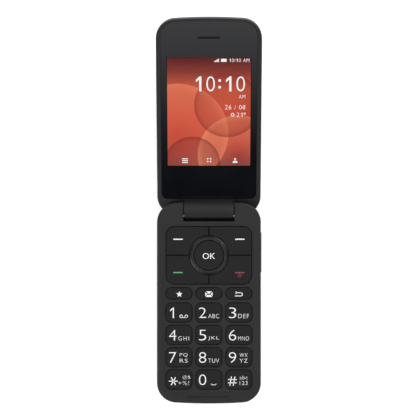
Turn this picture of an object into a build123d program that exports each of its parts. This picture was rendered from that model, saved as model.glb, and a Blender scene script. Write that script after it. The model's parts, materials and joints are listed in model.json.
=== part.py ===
from build123d import *
from math import cos, hypot, radians, sin, sqrt
import os

# Flip phone, in millimetres. The origin is the middle of the flat back of the base, +X points to
# the right, +Y towards the hinge and +Z out of the keypad. The lid is drawn shut on the base and
# then swung open about the hinge.

# Outline, shared by base and lid: straight sides, round corners and slightly arched ends.
# The length follows from the battery and from what lies beyond its two ends.
phone_width = 54.0
corner_radius = 10.2
end_arch_radius = 290.0

# Thickness of the two halves and the gap between them when shut
base_height = 10.9
lid_height = 7.7
lid_gap = 0.3

# Walls and the rounding of the long edges
housing_wall = 1.2
cover_wall = 1.0
base_back_round = 4.2
base_front_round = 0.9
lid_face_round = 3.4
lid_rim_edge = 0.5
inner_chamfer_share = 0.65
overcut = 1.0

# The back of the base slopes up to the hinge end, which makes room for the lid behind it
slope_length = 16.5
slope_radius = 13.0
slope_angle = 28.5
slope_run = 9.56
slope_end_radius = 5.4
slope_end_turn = 38.5

# The lid's outer face rolls over at the hinge end
lid_roll_length = 9.5
lid_roll_radius = 11.7
lid_roll_turn = 60.0

# Hinge
hinge_inset = 4.5
hinge_drop = 3.5
open_angle = 162.0
barrel_radius = 4.9
barrel_length = 25.7
barrel_end_gap = 0.45
trough_gap = 0.7
notch_edge_chamfer = 0.4
hinge_bore_radius = 2.0
running_gap = 0.05
ear_boss_length = 4.0
sweep_gap = 0.3
sweep_steps = 6
arm_front = 2.6
ear_end_gap = 0.3
shaft_flat = 1.45
cam_shaft_radius = 1.2
cam_length = 12.0
cam_end_wall = 1.0
hollow_pin_wall = 0.6
flex_width = 5.4
flex_thickness = 0.2
flex_slot_gap = 0.4

# Parting lines
parting_gap = 0.1
seam_height = 4.6
seam_end_height = 8.3
lid_seam_depth = 2.6
ear_skin = 0.5
rim_strip = 0.7
rim_depth = 1.0
pry_tab_width = 8.2

# Keypad recess and finger scoop in the front of the base
recess_side = 3.0
recess_top_gap = 1.0
recess_bottom_gap = 4.1
recess_top_corner = 5.2
recess_depth = 0.6
recess_slope = 0.5
face_plate = 1.3
scoop_width = 24.0
scoop_radius = 1.5
scoop_depth = 0.6
scoop_inset = 2.8

# Keys
key_gap = 0.2
key_travel = 0.3
key_proud = 0.45
key_edge = 0.35
key_corner = 3.0
function_key_corner = 2.8
column_count = 3
number_row_count = 4
key_side_gap = 1.59
key_gutter = 1.86
row_gutter = 1.45
function_key_height = 6.06
function_row_gap = 1.72
number_row_gap = 1.845
key_foot_gap = 3.325
flange_lip = 0.5
flange_thickness = 0.5
flange_gap = 0.15

# Four-way ring, centre key and the four keys round them
nav_end_gap = 27.95
nav_side_gap = 1.7
nav_height = 30.1
nav_corner = 4.6
nav_proud = 0.3
nav_ring_radius = 10.0
nav_ring_bore = 8.0
nav_ring_rise = 0.3
nav_ring_top = 0.5
nav_ring_edge = 0.1
nav_pad_thickness = 0.3
nav_pad_gap = 0.3
corner_dome_y = 10.0

# Rubber mat, domes and board under the keys
mat_gap = 0.15
mat_thickness = 0.4
nub_radius = 1.1
nub_length = 0.4
dome_radius = 2.1
dome_top_radius = 1.1
dome_height = 0.3
dome_sheet_thickness = 0.1
board_thickness = 0.8
board_side_gap = 3.0
board_end_gap = 1.0
sheet_end_gap = 0.5
stack_gap = 0.1
chassis_plate = 0.6
chassis_rib = 0.8
chassis_side_gap = 0.15

# Volume rocker on the right side
rocker_end_gap = 26.5
rocker_length = 21.4
rocker_height = 2.8
rocker_proud = 0.35
rocker_z = 6.9
rocker_gap = 0.2
rocker_lip = 0.5
rocker_lip_gap = 0.35
rocker_lip_thickness = 0.7

# Battery and what lies beside it in the back of the base
battery_side = 6.0
battery_length = 56.0
battery_thickness = 3.6
battery_corner = 2.0
battery_gap = 0.3
contact_count = 4
contact_pitch = 2.6
contact_width = 1.2
contact_length = 2.4
contact_height = 1.6
speaker_width = 15.0
speaker_length = 11.0
speaker_thickness = 3.4
speaker_head_gap = 1.8
speaker_corner = 2.0
speaker_rim = 1.5
slot_length = 9.75
slot_height = 1.1
slot_pitch = 2.4
mesh_thickness = 0.15
mesh_lip = 0.8
motor_radius = 4.0
motor_thickness = 2.6
motor_side_gap = 9.5
motor_end_gap = 17.9
card_socket_size = (15.0, 9.6, 1.3)
card_socket_sheet = 0.25
card_socket_side = 0.8
card_socket_gap = 0.3
card_socket_head_gap = 0.2
card_socket_side_gap = 6.0
shield_size = (13.0, 6.8, 1.2)
shield_edge = 0.25
shield_jack_gap = 2.3
shield_contact_gap = 0.4
antenna_size = (14.0, 4.2, 0.25)
antenna_side_gap = 12.0
antenna_foot_gap = 6.5
microphone_size = (3.8, 3.0, 1.0)
microphone_x = 12.0
microphone_hole_radius = 0.5

# Ports: charging socket in the bottom end, headset socket in the left side
charge_width = 8.94
charge_height = 3.2
charge_depth = 7.3
charge_shell = 0.3
charge_tongue = (6.7, 4.4, 0.7)
port_gap = 0.15
port_setback = 0.5
charge_bay_gap = 2.6
jack_end_gap = 27.9
jack_bore_radius = 1.78
jack_bore_length = 11.0
jack_body = (12.0, 6.0, 4.2)
jack_nose_radius = 2.5
jack_nose_length = 1.6
jack_setback = 0.5
small_round_sides = 8

# Screws that clamp the rear housing to the front housing
screw_foot_gap = 16.5
screw_middle_y = 4.0
screw_head_gap = 12.9
screw_boss_radius = 1.35
screw_shank_radius = 0.6
screw_head_radius = 1.2
screw_head_height = 0.6
screw_engagement = 2.4

# Main lens, display and what lies round them on the inner side of the lid
lens_side_gap = 2.35
lens_tip_gap = 1.25
lens_chin_gap = 9.5
lens_thickness = 0.8
lens_setback = 0.1
lens_tip_corner = 8.0
lens_chin_corner = 3.2
lens_fit = 0.1
frame_ledge = 0.8
display_side_lap = 1.45
display_tip_gap = 17.8
display_thickness = 1.8
display_corner = 0.6
display_chin_gap = 25.2
display_fit = 0.2
ear_slot_length = 11.6
ear_slot_height = 1.1
ear_slot_tip_gap = 9.9
earpiece_size = (12.6, 4.6, 2.2)

# Outer side of the lid
outer_lens_width = 30.8
outer_lens_length = 35.6
outer_lens_corner = 3.0
outer_lens_chin_gap = 50.9
outer_lens_thickness = 0.8
outer_lens_setback = 0.1
outer_display_width = 28.0
outer_display_length = 31.6
outer_display_thickness = 1.5
camera_chin_gap = 14.3
camera_window_radius = 4.95
camera_window_thickness = 0.9
camera_window_edge = 0.2
camera_barrel_radius = 2.6
camera_barrel_length = 1.2
camera_base = (7.0, 7.0, 2.0)
camera_aperture = 2.9
lid_board_width = 40.0
lid_board_thickness = 0.7
lid_board_tip_gap = 19.3
lid_board_corner = 1.5
lid_board_chin_gap = 19.7
magnet_size = (8.0, 3.0, 1.2)
magnet_tip_gap = 5.6
lid_screw_side = 4.8
lid_screw_chin_gap = 18.5
lid_screw_tip_gap = 12.0
lid_boss_radius = 1.5

# Places and levels that follow from the sizes above
trough_radius = barrel_radius + trough_gap
battery_rim = battery_gap + chassis_rib
battery_foot = port_setback + charge_depth + charge_bay_gap + battery_rim
socket_room = battery_rim + card_socket_gap + card_socket_size[1] + card_socket_head_gap
speaker_room = speaker_length + 2 * battery_rim + speaker_head_gap
hinge_room = housing_wall + trough_radius + hinge_inset
phone_length = battery_foot + battery_length + socket_room + speaker_room + hinge_room
half_width = phone_width / 2
half_length = phone_length / 2
hinge_y = half_length - hinge_inset
hinge_z = base_height - hinge_drop
hinge_line = Axis((0, hinge_y, hinge_z), (1, 0, 0))
notch_width = barrel_length + 2 * barrel_end_gap
hinge_wall_y = hinge_y - trough_radius - housing_wall
rim_low_y = hinge_y - trough_radius - rim_depth + notch_edge_chamfer
hinge_zone_width = notch_width + 2 * ear_boss_length
ear_reach = hinge_zone_width / 2
slope_start = half_length - slope_length
recess_floor = base_height - recess_depth
plate_bottom = recess_floor - face_plate
recess_top_y = hinge_y - trough_radius - notch_edge_chamfer - recess_top_gap
recess_bottom_y = -half_length + recess_bottom_gap
key_top = recess_floor + key_proud
nav_top = recess_floor + nav_proud
flange_top = plate_bottom - flange_gap
flange_bottom = flange_top - flange_thickness
mat_top = flange_bottom - key_travel - mat_gap
mat_bottom = mat_top - mat_thickness
dome_top = mat_bottom - nub_length - stack_gap
board_top = dome_top - dome_height - dome_sheet_thickness
board_bottom = board_top - board_thickness
chassis_top = board_bottom - stack_gap
chassis_bottom = chassis_top - chassis_plate
bay_top = chassis_bottom - stack_gap
board_width = phone_width - 2 * (housing_wall + board_side_gap)
battery_width = phone_width - 2 * battery_side
battery_end_y = battery_foot + battery_length - half_length
battery_y = battery_end_y - battery_length / 2
speaker_y = hinge_wall_y - speaker_head_gap - battery_rim - speaker_length / 2
motor_spot = (motor_side_gap - half_width, half_length - motor_end_gap)
card_socket_spot = (
    half_width - card_socket_side_gap - card_socket_size[0] / 2,
    battery_end_y + battery_rim + card_socket_gap + card_socket_size[1] / 2,
)
contact_y = battery_end_y + battery_rim + stack_gap
shield_spot = (
    housing_wall - half_width + jack_body[0] + shield_jack_gap + shield_size[0] / 2,
    contact_y + contact_length + shield_contact_gap + shield_size[1] / 2,
)
antenna_spot = (antenna_side_gap - half_width, antenna_foot_gap - half_length)
jack_y = half_length - jack_end_gap
rocker_y = half_length - rocker_end_gap
screw_rows = (screw_foot_gap - half_length, screw_middle_y, half_length - screw_head_gap)
nav_y = half_length - nav_end_gap
nav_width = phone_width - 2 * (recess_side + nav_side_gap)
column_room = phone_width - 2 * (recess_side + key_side_gap)
key_width = (column_room - (column_count - 1) * key_gutter) / column_count
key_pitch_x = key_width + key_gutter
function_row_y = nav_y - nav_height / 2 - function_row_gap - function_key_height / 2
number_top_y = function_row_y - function_key_height / 2 - number_row_gap
row_room = number_top_y - recess_bottom_y - key_foot_gap
number_key_height = (row_room - (number_row_count - 1) * row_gutter) / number_row_count
key_pitch_y = number_key_height + row_gutter
number_row_y = number_top_y - number_key_height / 2
port_z = seam_height
lid_low = base_height + lid_gap
lid_top = lid_low + lid_height
lid_seam = lid_low + lid_seam_depth
lens_low = lid_low + lens_setback
ledge_low = lens_low + lens_thickness + lens_fit
ledge_top = ledge_low + frame_ledge
lens_chin_y = half_length - lens_chin_gap
lens_width = phone_width - 2 * lens_side_gap
display_width = lens_width - 2 * display_side_lap
display_length = phone_length - display_chin_gap - display_tip_gap
display_y = half_length - display_chin_gap - display_length / 2
ear_slot_y = ear_slot_tip_gap - half_length
lid_board_length = phone_length - lid_board_chin_gap - lid_board_tip_gap
lid_screw_rows = (half_length - lid_screw_chin_gap, lid_screw_tip_gap - half_length)
outer_lens_y = half_length - outer_lens_chin_gap
outer_lens_low = lid_top - outer_lens_setback - outer_lens_thickness
camera_y = half_length - camera_chin_gap
camera_window_low = lid_top - outer_lens_setback - camera_window_thickness
lid_board_low = ledge_low + display_thickness + 2 * stack_gap
key_columns = (-key_pitch_x, 0.0, key_pitch_x)
number_rows = [number_row_y - row * key_pitch_y for row in range(number_row_count)]
number_names = (
    ("key_1", "key_2", "key_3"),
    ("key_4", "key_5", "key_6"),
    ("key_7", "key_8", "key_9"),
    ("key_star", "key_0", "key_hash"),
)
function_names = ("favourites_key", "message_key", "back_key")


# Small helpers

def slab(face, low, high):
    return extrude(Pos(0, 0, low) * face, high - low, dir=(0, 0, 1))


def span_box(x, y, z):
    middle = Pos((x[0] + x[1]) / 2, (y[0] + y[1]) / 2, (z[0] + z[1]) / 2)
    return middle * Box(x[1] - x[0], y[1] - y[0], z[1] - z[0])


def peg(radius, low, high):
    return slab(RegularPolygon(radius, small_round_sides), low, high)


def rod_along_x(radius, x, y, z):
    return Pos((x[0] + x[1]) / 2, y, z) * Rot(0, 90, 0) * Cylinder(radius, x[1] - x[0])


def side_profile(*curves):
    # A face drawn in the side view, as Y and Z, drawn out across the whole width
    start = Plane.YZ.offset(-phone_width / 2 - overcut)
    return extrude(start * make_face(curves), phone_width + 2 * overcut)


def mirrored(part):
    return part + mirror(part, about=Plane.YZ)


# Outline of the phone in plan

def arched_end(half_span, end_y, corner, arch):
    # One arched end: a round corner, the arch and the other corner, tangent to each other
    corner_x = half_span - corner
    arch_y = end_y - arch
    corner_y = arch_y + sqrt((arch - corner) ** 2 - corner_x**2)
    share = arch / (arch - corner)
    touch = (corner_x * share, arch_y + (corner_y - arch_y) * share)
    middle = (corner_x + corner * cos(radians(45)), corner_y + corner * sin(radians(45)))
    right = ThreePointArc((half_span, corner_y), middle, touch)
    crown = ThreePointArc(touch, (0, end_y), (-touch[0], touch[1]))
    return [right, mirror(right, about=Plane.YZ), crown], corner_y


def plan_outline(inset=0.0):
    span = half_width - inset
    end, corner_y = arched_end(span, half_length - inset, corner_radius - inset, end_arch_radius - inset)
    other_end = [mirror(curve, about=Plane.XZ) for curve in end]
    sides = [Line((side * span, -corner_y), (side * span, corner_y)) for side in (-1, 1)]
    return make_face(end + other_end + sides)


def end_drop(x):
    # How far the hinge end lies back from its apex at a distance x from the middle
    corner_x = half_width - corner_radius
    reach = end_arch_radius - corner_radius
    corner_y = half_length - end_arch_radius + sqrt(reach**2 - corner_x**2)
    if x <= corner_x * end_arch_radius / reach:
        return end_arch_radius - sqrt(end_arch_radius**2 - x**2)
    return half_length - corner_y - sqrt(corner_radius**2 - (x - corner_x) ** 2)


# Solid forms of base and lid, which the shells are cut from

def border_edges(form, z_low, z_high, joints_y):
    # Edges all round the outline between two heights, without the lines where a slope begins
    def on_border(edge):
        box = edge.bounding_box()
        within = box.min.Z > z_low - parting_gap and box.max.Z < z_high + parting_gap
        middle = edge.center()
        at_joint = any(abs(middle.Y - joint_y) < parting_gap for joint_y in joints_y)
        return within and not (at_joint and abs(middle.X) < parting_gap)
    return form.edges().filter_by(on_border)


def rounded_border(edges, radius, inner):
    # Round outside; a plain chamfer does on the hidden inner side of a wall
    if inner:
        return chamfer(edges, radius * inner_chamfer_share)
    return fillet(edges, radius)


def base_form(inset=0.0, inner=False):
    start = (slope_start, inset)
    bend = JernArc(start, (1, 0), slope_radius - inset, slope_angle)
    ramp = PolarLine(bend @ 1, slope_run, slope_angle)
    turn = JernArc(ramp @ 1, ramp % 1, slope_end_radius - inset, slope_end_turn)
    end = turn @ 1
    foot = -half_length
    side = side_profile(
        Line((foot, inset), start),
        bend,
        ramp,
        turn,
        Line(end, (end.X, base_height)),
        Line((end.X, base_height), (foot, base_height)),
        Line((foot, base_height), (foot, inset)),
    )
    form = slab(plan_outline(inset), inset, base_height) & side
    joints_y = (slope_start, (bend @ 1).X, (ramp @ 1).X)
    back_edges = border_edges(form, 0, end.Y, joints_y)
    return rounded_border(back_edges, base_back_round - inset, inner)


def lid_form(inset=0.0, inner=False):
    top = lid_top - inset
    start = (half_length - lid_roll_length, top)
    roll = JernArc(start, (1, 0), lid_roll_radius - inset, -lid_roll_turn)
    end = roll @ 1
    foot = -half_length
    side = side_profile(
        Line((foot, top), start),
        roll,
        Line(end, (end.X, lid_low)),
        Line((end.X, lid_low), (foot, lid_low)),
        Line((foot, lid_low), (foot, top)),
    )
    form = slab(plan_outline(inset), lid_low, top) & side
    face_edges = border_edges(form, end.Y, top, (start[0],))
    return rounded_border(face_edges, lid_face_round - inset, inner)


def above_seam(lift=0.0):
    # Everything above the parting line, which runs level and then climbs to the hinge end
    far = half_length + base_height
    return side_profile(Polyline(
        (-far, seam_height + lift),
        (slope_start, seam_height + lift),
        (half_length, seam_end_height + lift),
        (far, seam_end_height + lift),
        (far, base_height + overcut),
        (-far, base_height + overcut),
        close=True,
    ))


def hinge_notch():
    # The room for the barrel: a trough round the hinge line, open to the front and to the end
    reach = half_length + hinge_inset
    span = (-notch_width / 2, notch_width / 2)
    trough = rod_along_x(trough_radius, span, hinge_y, hinge_z)
    to_front = span_box(span, (hinge_y - trough_radius, reach), (hinge_z, base_height + overcut))
    to_end = span_box(span, (hinge_y, reach), (-overcut, base_height + overcut))
    lip_y = hinge_y - trough_radius - notch_edge_chamfer
    lip = extrude(Plane.YZ * make_face(Polyline(
        (lip_y, base_height),
        (lip_y + notch_edge_chamfer, base_height - notch_edge_chamfer),
        (hinge_y, base_height - notch_edge_chamfer),
        (hinge_y, base_height),
        close=True,
    )), notch_width / 2, both=True)
    return trough + to_front + to_end + lip


def hinge_zone(width, from_y):
    span = (-width / 2, width / 2)
    return span_box(span, (from_y, half_length + overcut), (-overcut, base_height + overcut))


def ear_bores(radius):
    return rod_along_x(radius, (-ear_reach - overcut, ear_reach + overcut), hinge_y, hinge_z)


# Ports and windows that cross the parting line of the base

def charge_opening(gap):
    face = SlotOverall(charge_width + 2 * gap, charge_height + 2 * gap)
    front = Plane((0, -half_length - overcut, port_z), x_dir=(1, 0, 0), z_dir=(0, 1, 0))
    return extrude(front * face, charge_depth)


def jack_opening(gap):
    outer = (-half_width - overcut, -half_width + housing_wall + overcut)
    return rod_along_x(jack_nose_radius + gap, outer, jack_y, port_z)


def screw_places():
    x = half_width - housing_wall - screw_boss_radius
    return [(side * x, y) for y in screw_rows for side in (-1, 1)]


# Key sketches

def number_key_face(grow=0.0):
    return RectangleRounded(key_width + 2 * grow, number_key_height + 2 * grow, key_corner + grow)


def function_key_face(grow=0.0):
    width = key_width + 2 * grow
    return RectangleRounded(width, function_key_height + 2 * grow, function_key_corner + grow)


def nav_face(grow=0.0):
    return Pos(0, nav_y) * RectangleRounded(nav_width + 2 * grow, nav_height + 2 * grow, nav_corner + grow)


def dome_places():
    rows = [(x, y) for y in [function_row_y] + number_rows for x in key_columns]
    ring_middle = (nav_ring_radius + nav_ring_bore) / 2
    ring = [(0, nav_y + side * ring_middle) for side in (-1, 1)]
    ring += [(side * ring_middle, nav_y) for side in (-1, 1)]
    corners = [(side * key_pitch_x, nav_y + end * corner_dome_y) for side in (-1, 1) for end in (-1, 1)]
    return rows + ring + corners + [(0, nav_y)]


# Base: shells

def keypad_recess():
    # Shallow pan round the keys, with a sloping edge
    def pan(grow):
        low = recess_bottom_y - grow
        high = recess_top_y + grow
        span = half_width - recess_side + grow
        face = Pos(0, (low + high) / 2) * Rectangle(2 * span, high - low)
        top_corners = face.vertices().group_by(Axis.Y)[-1]
        face = fillet(top_corners, recess_top_corner + grow)
        return fillet(face.vertices().group_by(Axis.Y)[0], corner_radius - recess_side + grow)
    return loft([Pos(0, 0, recess_floor) * pan(-recess_slope), Pos(0, 0, base_height) * pan(0)])


def finger_scoop():
    y = -half_length + scoop_inset
    z = base_height + scoop_radius - scoop_depth
    span = (-scoop_width / 2 + scoop_radius, scoop_width / 2 - scoop_radius)
    ends = [Pos(x, y, z) * Sphere(scoop_radius) for x in span]
    return rod_along_x(scoop_radius, span, y, z) + ends[0] + ends[1]


def build_base_front_housing():
    outer = base_form()
    front_edges = outer.edges().group_by(Axis.Z)[-1]
    outer = fillet(front_edges, base_front_round)
    zone = hinge_zone(hinge_zone_width, hinge_wall_y)
    room = slab(plan_outline(housing_wall), 0, plate_bottom) - zone
    rim_zone = hinge_zone(notch_width + 2 * rim_strip, rim_low_y)
    cradle = (base_form(ear_skin + parting_gap) & zone) + ((outer & rim_zone) - pry_tab())
    housing = ((outer & above_seam()) - room) + cradle
    housing -= hinge_notch()
    housing -= ear_bores(hinge_bore_radius)
    housing -= keypad_recess()
    housing -= finger_scoop()
    for x, y in screw_places():
        housing += Pos(x, y) * peg(screw_boss_radius, chassis_top + stack_gap, plate_bottom)
    for x, y in screw_places():
        housing -= Pos(x, y) * peg(screw_shank_radius, chassis_top, chassis_top + screw_engagement)
    housing -= key_windows()
    housing -= rocker_window()
    housing -= charge_opening(port_gap)
    housing -= jack_opening(port_gap)
    mic_z = board_bottom - microphone_size[2] / 2
    housing -= Pos(microphone_x, -half_length, mic_z) * Rot(90, 0, 0) * Cylinder(
        microphone_hole_radius, 3 * housing_wall)
    return housing


def key_windows():
    low = plate_bottom - overcut
    number_window = slab(number_key_face(key_gap), low, base_height)
    function_window = slab(function_key_face(key_gap), low, base_height)
    windows = [Pos(x, y) * number_window for y in number_rows for x in key_columns]
    windows += [Pos(x, function_row_y) * function_window for x in key_columns]
    return windows + [slab(nav_face(key_gap), low, base_height)]


def pry_tab(gap=0.0):
    # The tongue of the battery cover that a fingernail lifts, under the barrel
    span = pry_tab_width / 2 - gap
    return span_box((-span, span), (hinge_wall_y, hinge_y), (-overcut, seam_height))


def rocker_window():
    face = SlotOverall(rocker_length + 2 * rocker_gap, rocker_height + 2 * rocker_gap)
    side = Plane((half_width - 2 * housing_wall, rocker_y, rocker_z), x_dir=(0, 1, 0), z_dir=(1, 0, 0))
    return extrude(side * face, 3 * housing_wall)


def build_battery_cover():
    outer = base_form()
    zone = hinge_zone(hinge_zone_width + 2 * parting_gap, hinge_wall_y - parting_gap)
    cover = outer - base_form(cover_wall, inner=True) - above_seam(-parting_gap)
    cover -= base_form(ear_skin) & zone
    rim_zone = hinge_zone(notch_width + 2 * (rim_strip + parting_gap), rim_low_y - parting_gap)
    cover -= rim_zone - pry_tab(parting_gap)
    cover -= hinge_notch()
    cover -= ear_bores(hinge_bore_radius)
    for step in (-1, 1):
        slot = Pos(0, speaker_y + step * slot_pitch / 2) * SlotOverall(slot_length, slot_height)
        cover -= slab(slot, -overcut, cover_wall + overcut)
    cover -= charge_opening(port_gap)
    cover -= jack_opening(port_gap)
    return cover


def build_base_rear_housing():
    # Flat chassis that carries the board and walls in the battery bay, the speaker and the motor
    inset = housing_wall + chassis_side_gap
    low = cover_wall + stack_gap
    room = base_form(inset, inner=True) - hinge_zone(phone_width, hinge_wall_y - chassis_side_gap)
    plate = room & slab(plan_outline(inset), chassis_bottom, chassis_top)
    bay = Rectangle(battery_width + 2 * battery_gap, battery_length + 2 * battery_gap)
    bay_wall = offset(bay, chassis_rib, kind=Kind.INTERSECTION) - bay
    box = Rectangle(speaker_width + 2 * battery_gap, speaker_length + 2 * battery_gap)
    box_wall = offset(box, chassis_rib, kind=Kind.INTERSECTION) - box
    ring_wall = Circle(motor_radius + battery_gap + chassis_rib) - Circle(motor_radius + battery_gap)
    chassis = plate + slab(Pos(0, battery_y) * bay_wall, low, chassis_bottom)
    chassis += slab(Pos(0, speaker_y) * box_wall, low + mesh_thickness, chassis_bottom)
    chassis += slab(Pos(*motor_spot) * ring_wall, bay_top - motor_thickness, chassis_bottom)
    chassis = chassis & room
    can_width, can_length, _ = shield_size
    window = Pos(*shield_spot) * Rectangle(can_width + 2 * battery_gap, can_length + 2 * battery_gap)
    chassis -= slab(window + microphone_face(battery_gap), low, chassis_top + overcut)
    for x, y in screw_places():
        chassis -= Pos(x, y) * peg(screw_shank_radius + stack_gap, low, chassis_top + overcut)
    chassis -= jack_room(port_gap)
    chassis -= charge_room(port_gap)
    chassis -= rocker_room()
    return chassis


# Base: what the shells hold

def jack_room(gap):
    start = -half_width + housing_wall
    reach = jack_body[0] + gap
    depth = jack_body[1] / 2 + gap
    along = (jack_y - depth, jack_y + depth)
    return span_box((start - overcut, start + reach), along, (0, board_top + overcut))


def charge_room(gap):
    span = charge_width / 2 + gap
    reach = -half_length + port_setback + charge_depth + gap
    low = port_z - charge_height / 2 - gap
    return span_box((-span, span), (-half_length, reach), (low, board_top + overcut))


def rocker_room():
    inner = half_width - housing_wall - rocker_lip_gap - rocker_lip_thickness - key_travel
    reach = rocker_length / 2 + rocker_lip + chassis_side_gap
    along = (rocker_y - reach, rocker_y + reach)
    return span_box((inner, half_width), along, (chassis_bottom - overcut, chassis_top + overcut))


def build_battery():
    face = Pos(0, battery_y) * RectangleRounded(battery_width, battery_length, battery_corner)
    return slab(face, bay_top - battery_thickness, bay_top)


def build_main_board():
    top_y = hinge_wall_y - board_end_gap
    bottom_y = -half_length + port_setback + housing_wall + charge_depth / 2
    face = Pos(0, (top_y + bottom_y) / 2) * RectangleRounded(board_width, top_y - bottom_y, battery_corner)
    board = slab(face, board_bottom, board_top)
    return board - jack_room(port_gap) - charge_room(port_gap)


def build_dome_sheet():
    # Foil with a metal snap dome under every key
    top_y = hinge_wall_y - board_end_gap - sheet_end_gap
    bottom_y = number_rows[-1] - number_key_height / 2
    face = Pos(0, (top_y + bottom_y) / 2) * Rectangle(board_width - 2 * stack_gap, top_y - bottom_y)
    sheet = slab(face, board_top, board_top + dome_sheet_thickness)
    foot = Pos(0, 0, board_top + dome_sheet_thickness) * RegularPolygon(dome_radius, small_round_sides)
    crown = Pos(0, 0, dome_top) * RegularPolygon(dome_top_radius, small_round_sides)
    dome = loft([foot, crown], ruled=True)
    for x, y in dome_places():
        sheet += Pos(x, y) * dome
    return sheet - jack_room(port_gap)


def build_key_mat():
    # Silicone mat with a nub over every dome
    top_y = hinge_wall_y - board_end_gap
    bottom_y = number_rows[-1] - number_key_height / 2 - board_end_gap
    face = Pos(0, (top_y + bottom_y) / 2) * RectangleRounded(board_width, top_y - bottom_y, battery_corner)
    mat = slab(face, mat_bottom, mat_top)
    for x, y in dome_places():
        mat += Pos(x, y) * peg(nub_radius, mat_bottom - nub_length, mat_bottom)
    return mat


def build_usb_port():
    # Reversible charging socket: a drawn steel shell with its contact tongue
    shell_face = SlotOverall(charge_width, charge_height)
    bore_face = SlotOverall(charge_width - 2 * charge_shell, charge_height - 2 * charge_shell)
    mouth = Plane((0, -half_length + port_setback, port_z), x_dir=(1, 0, 0), z_dir=(0, 1, 0))
    shell = extrude(mouth * shell_face, charge_depth)
    shell -= extrude(mouth * bore_face, charge_depth - charge_shell)
    back_y = -half_length + port_setback + charge_depth
    tongue_width, tongue_length, tongue_thickness = charge_tongue
    return shell + span_box(
        (-tongue_width / 2, tongue_width / 2),
        (back_y - charge_shell - tongue_length, back_y),
        (port_z - tongue_thickness / 2, port_z + tongue_thickness / 2))


def build_headset_jack():
    length, width, height = jack_body
    start = -half_width + housing_wall + jack_setback
    body = span_box(
        (start, start + length - jack_setback - stack_gap),
        (jack_y - width / 2, jack_y + width / 2),
        (port_z - height / 2, port_z + height / 2))
    nose = rod_along_x(jack_nose_radius, (start - jack_nose_length, start), jack_y, port_z)
    nose = nose & base_form(stack_gap)
    mouth = start - jack_nose_length
    return body + nose - rod_along_x(jack_bore_radius, (mouth, mouth + jack_bore_length), jack_y, port_z)


def build_loudspeaker():
    face = RectangleRounded(speaker_width, speaker_length, speaker_corner)
    low = bay_top - speaker_thickness
    body = slab(face, low, bay_top)
    dish_face = offset(face, -speaker_rim)
    dish = slab(dish_face, low, low + mesh_thickness)
    return Pos(0, speaker_y) * (body - dish)


def build_speaker_mesh():
    face = Rectangle(slot_length + 2 * mesh_lip, slot_pitch + slot_height + 2 * mesh_lip)
    low = cover_wall + running_gap
    return slab(Pos(0, speaker_y) * face, low, low + mesh_thickness)


def microphone_face(grow=0.0):
    width, length, height = microphone_size
    y = -half_length + housing_wall + chassis_side_gap + length
    return Pos(microphone_x, y) * Rectangle(width + 2 * grow, length + 2 * grow)


def build_microphone():
    return slab(microphone_face(), board_bottom - microphone_size[2], board_bottom)


def build_vibration_motor():
    return Pos(*motor_spot) * slab(Circle(motor_radius), bay_top - motor_thickness, bay_top)


def build_card_socket():
    # Folded steel socket for the subscriber card, open towards the battery
    width, length, height = card_socket_size
    body = slab(Rectangle(width, length), bay_top - height, bay_top)
    inside = Pos(0, -card_socket_side) * Rectangle(width - 2 * card_socket_side, length)
    mouth = slab(inside, bay_top - height + card_socket_sheet, bay_top - card_socket_sheet)
    return Pos(*card_socket_spot) * (body - mouth)


def build_shield_can():
    width, length, height = shield_size
    can = slab(Rectangle(width, length), board_bottom - height, board_bottom)
    can = chamfer(can.edges().group_by(Axis.Z)[0], shield_edge)
    return Pos(*shield_spot) * can


def build_battery_contacts():
    # Comb of spring blades on an insulating block at the hinge end of the battery
    span = contact_pitch * contact_count
    blade_low = bay_top - contact_height
    along = (contact_y, contact_y + contact_length)
    block = span_box((-span / 2, span / 2), along, (blade_low, bay_top))
    for place in range(contact_count):
        x = (place - (contact_count - 1) / 2) * contact_pitch
        block += span_box(
            (x - contact_width / 2, x + contact_width / 2),
            (contact_y + stack_gap, contact_y + contact_length - stack_gap),
            (blade_low - mesh_thickness, blade_low))
    return block


def build_antenna():
    width, length, thickness = antenna_size
    notch = Pos(0, -length / 4) * Rectangle(width / 2, length / 3)
    face = Pos(*antenna_spot) * (Rectangle(width, length) - notch)
    return slab(face, chassis_bottom - thickness, chassis_bottom)


def build_housing_screws():
    screws = []
    for x, y in screw_places():
        seat = chassis_bottom - stack_gap
        shank = peg(screw_shank_radius - running_gap, seat, chassis_top + screw_engagement - stack_gap)
        head = peg(screw_head_radius, seat - screw_head_height, seat)
        screws.append(Pos(x, y) * (shank + head))
    return Compound(children=screws)


def build_hinge_shaft():
    # Steel shaft of the cam unit: its flatted head is fixed in the left ear
    head_radius = hinge_bore_radius - running_gap
    head_end = -notch_width / 2 - running_gap
    head = rod_along_x(head_radius, (-ear_reach + ear_end_gap, head_end), hinge_y, hinge_z)
    flat = span_box(
        (-ear_reach, head_end),
        (hinge_y - head_radius, hinge_y + head_radius),
        (hinge_z + shaft_flat, hinge_z + head_radius + overcut))
    tip = -barrel_length / 2 + cam_length - cam_end_wall
    return head - flat + rod_along_x(cam_shaft_radius, (head_end, tip), hinge_y, hinge_z)


def build_hinge_hollow_pin():
    # Hollow pivot in the right ear: the flexible circuit passes through it
    outer = hinge_bore_radius - running_gap
    span = (barrel_length / 2 - ear_boss_length / 2, ear_reach - ear_end_gap)
    pin = rod_along_x(outer, span, hinge_y, hinge_z)
    return pin - rod_along_x(outer - hollow_pin_wall, span, hinge_y, hinge_z)


# Keys and rocker

def key_cap(face, flange_face, top):
    cap = slab(face, flange_top, top)
    cap = chamfer(cap.edges().group_by(Axis.Z)[-1], key_edge)
    return cap + slab(flange_face, flange_bottom, flange_top)


def build_number_key(x, y):
    flange = Rectangle(key_width + 2 * flange_lip, number_key_height + 2 * flange_lip)
    return Pos(x, y) * key_cap(number_key_face(), flange, key_top)


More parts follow.
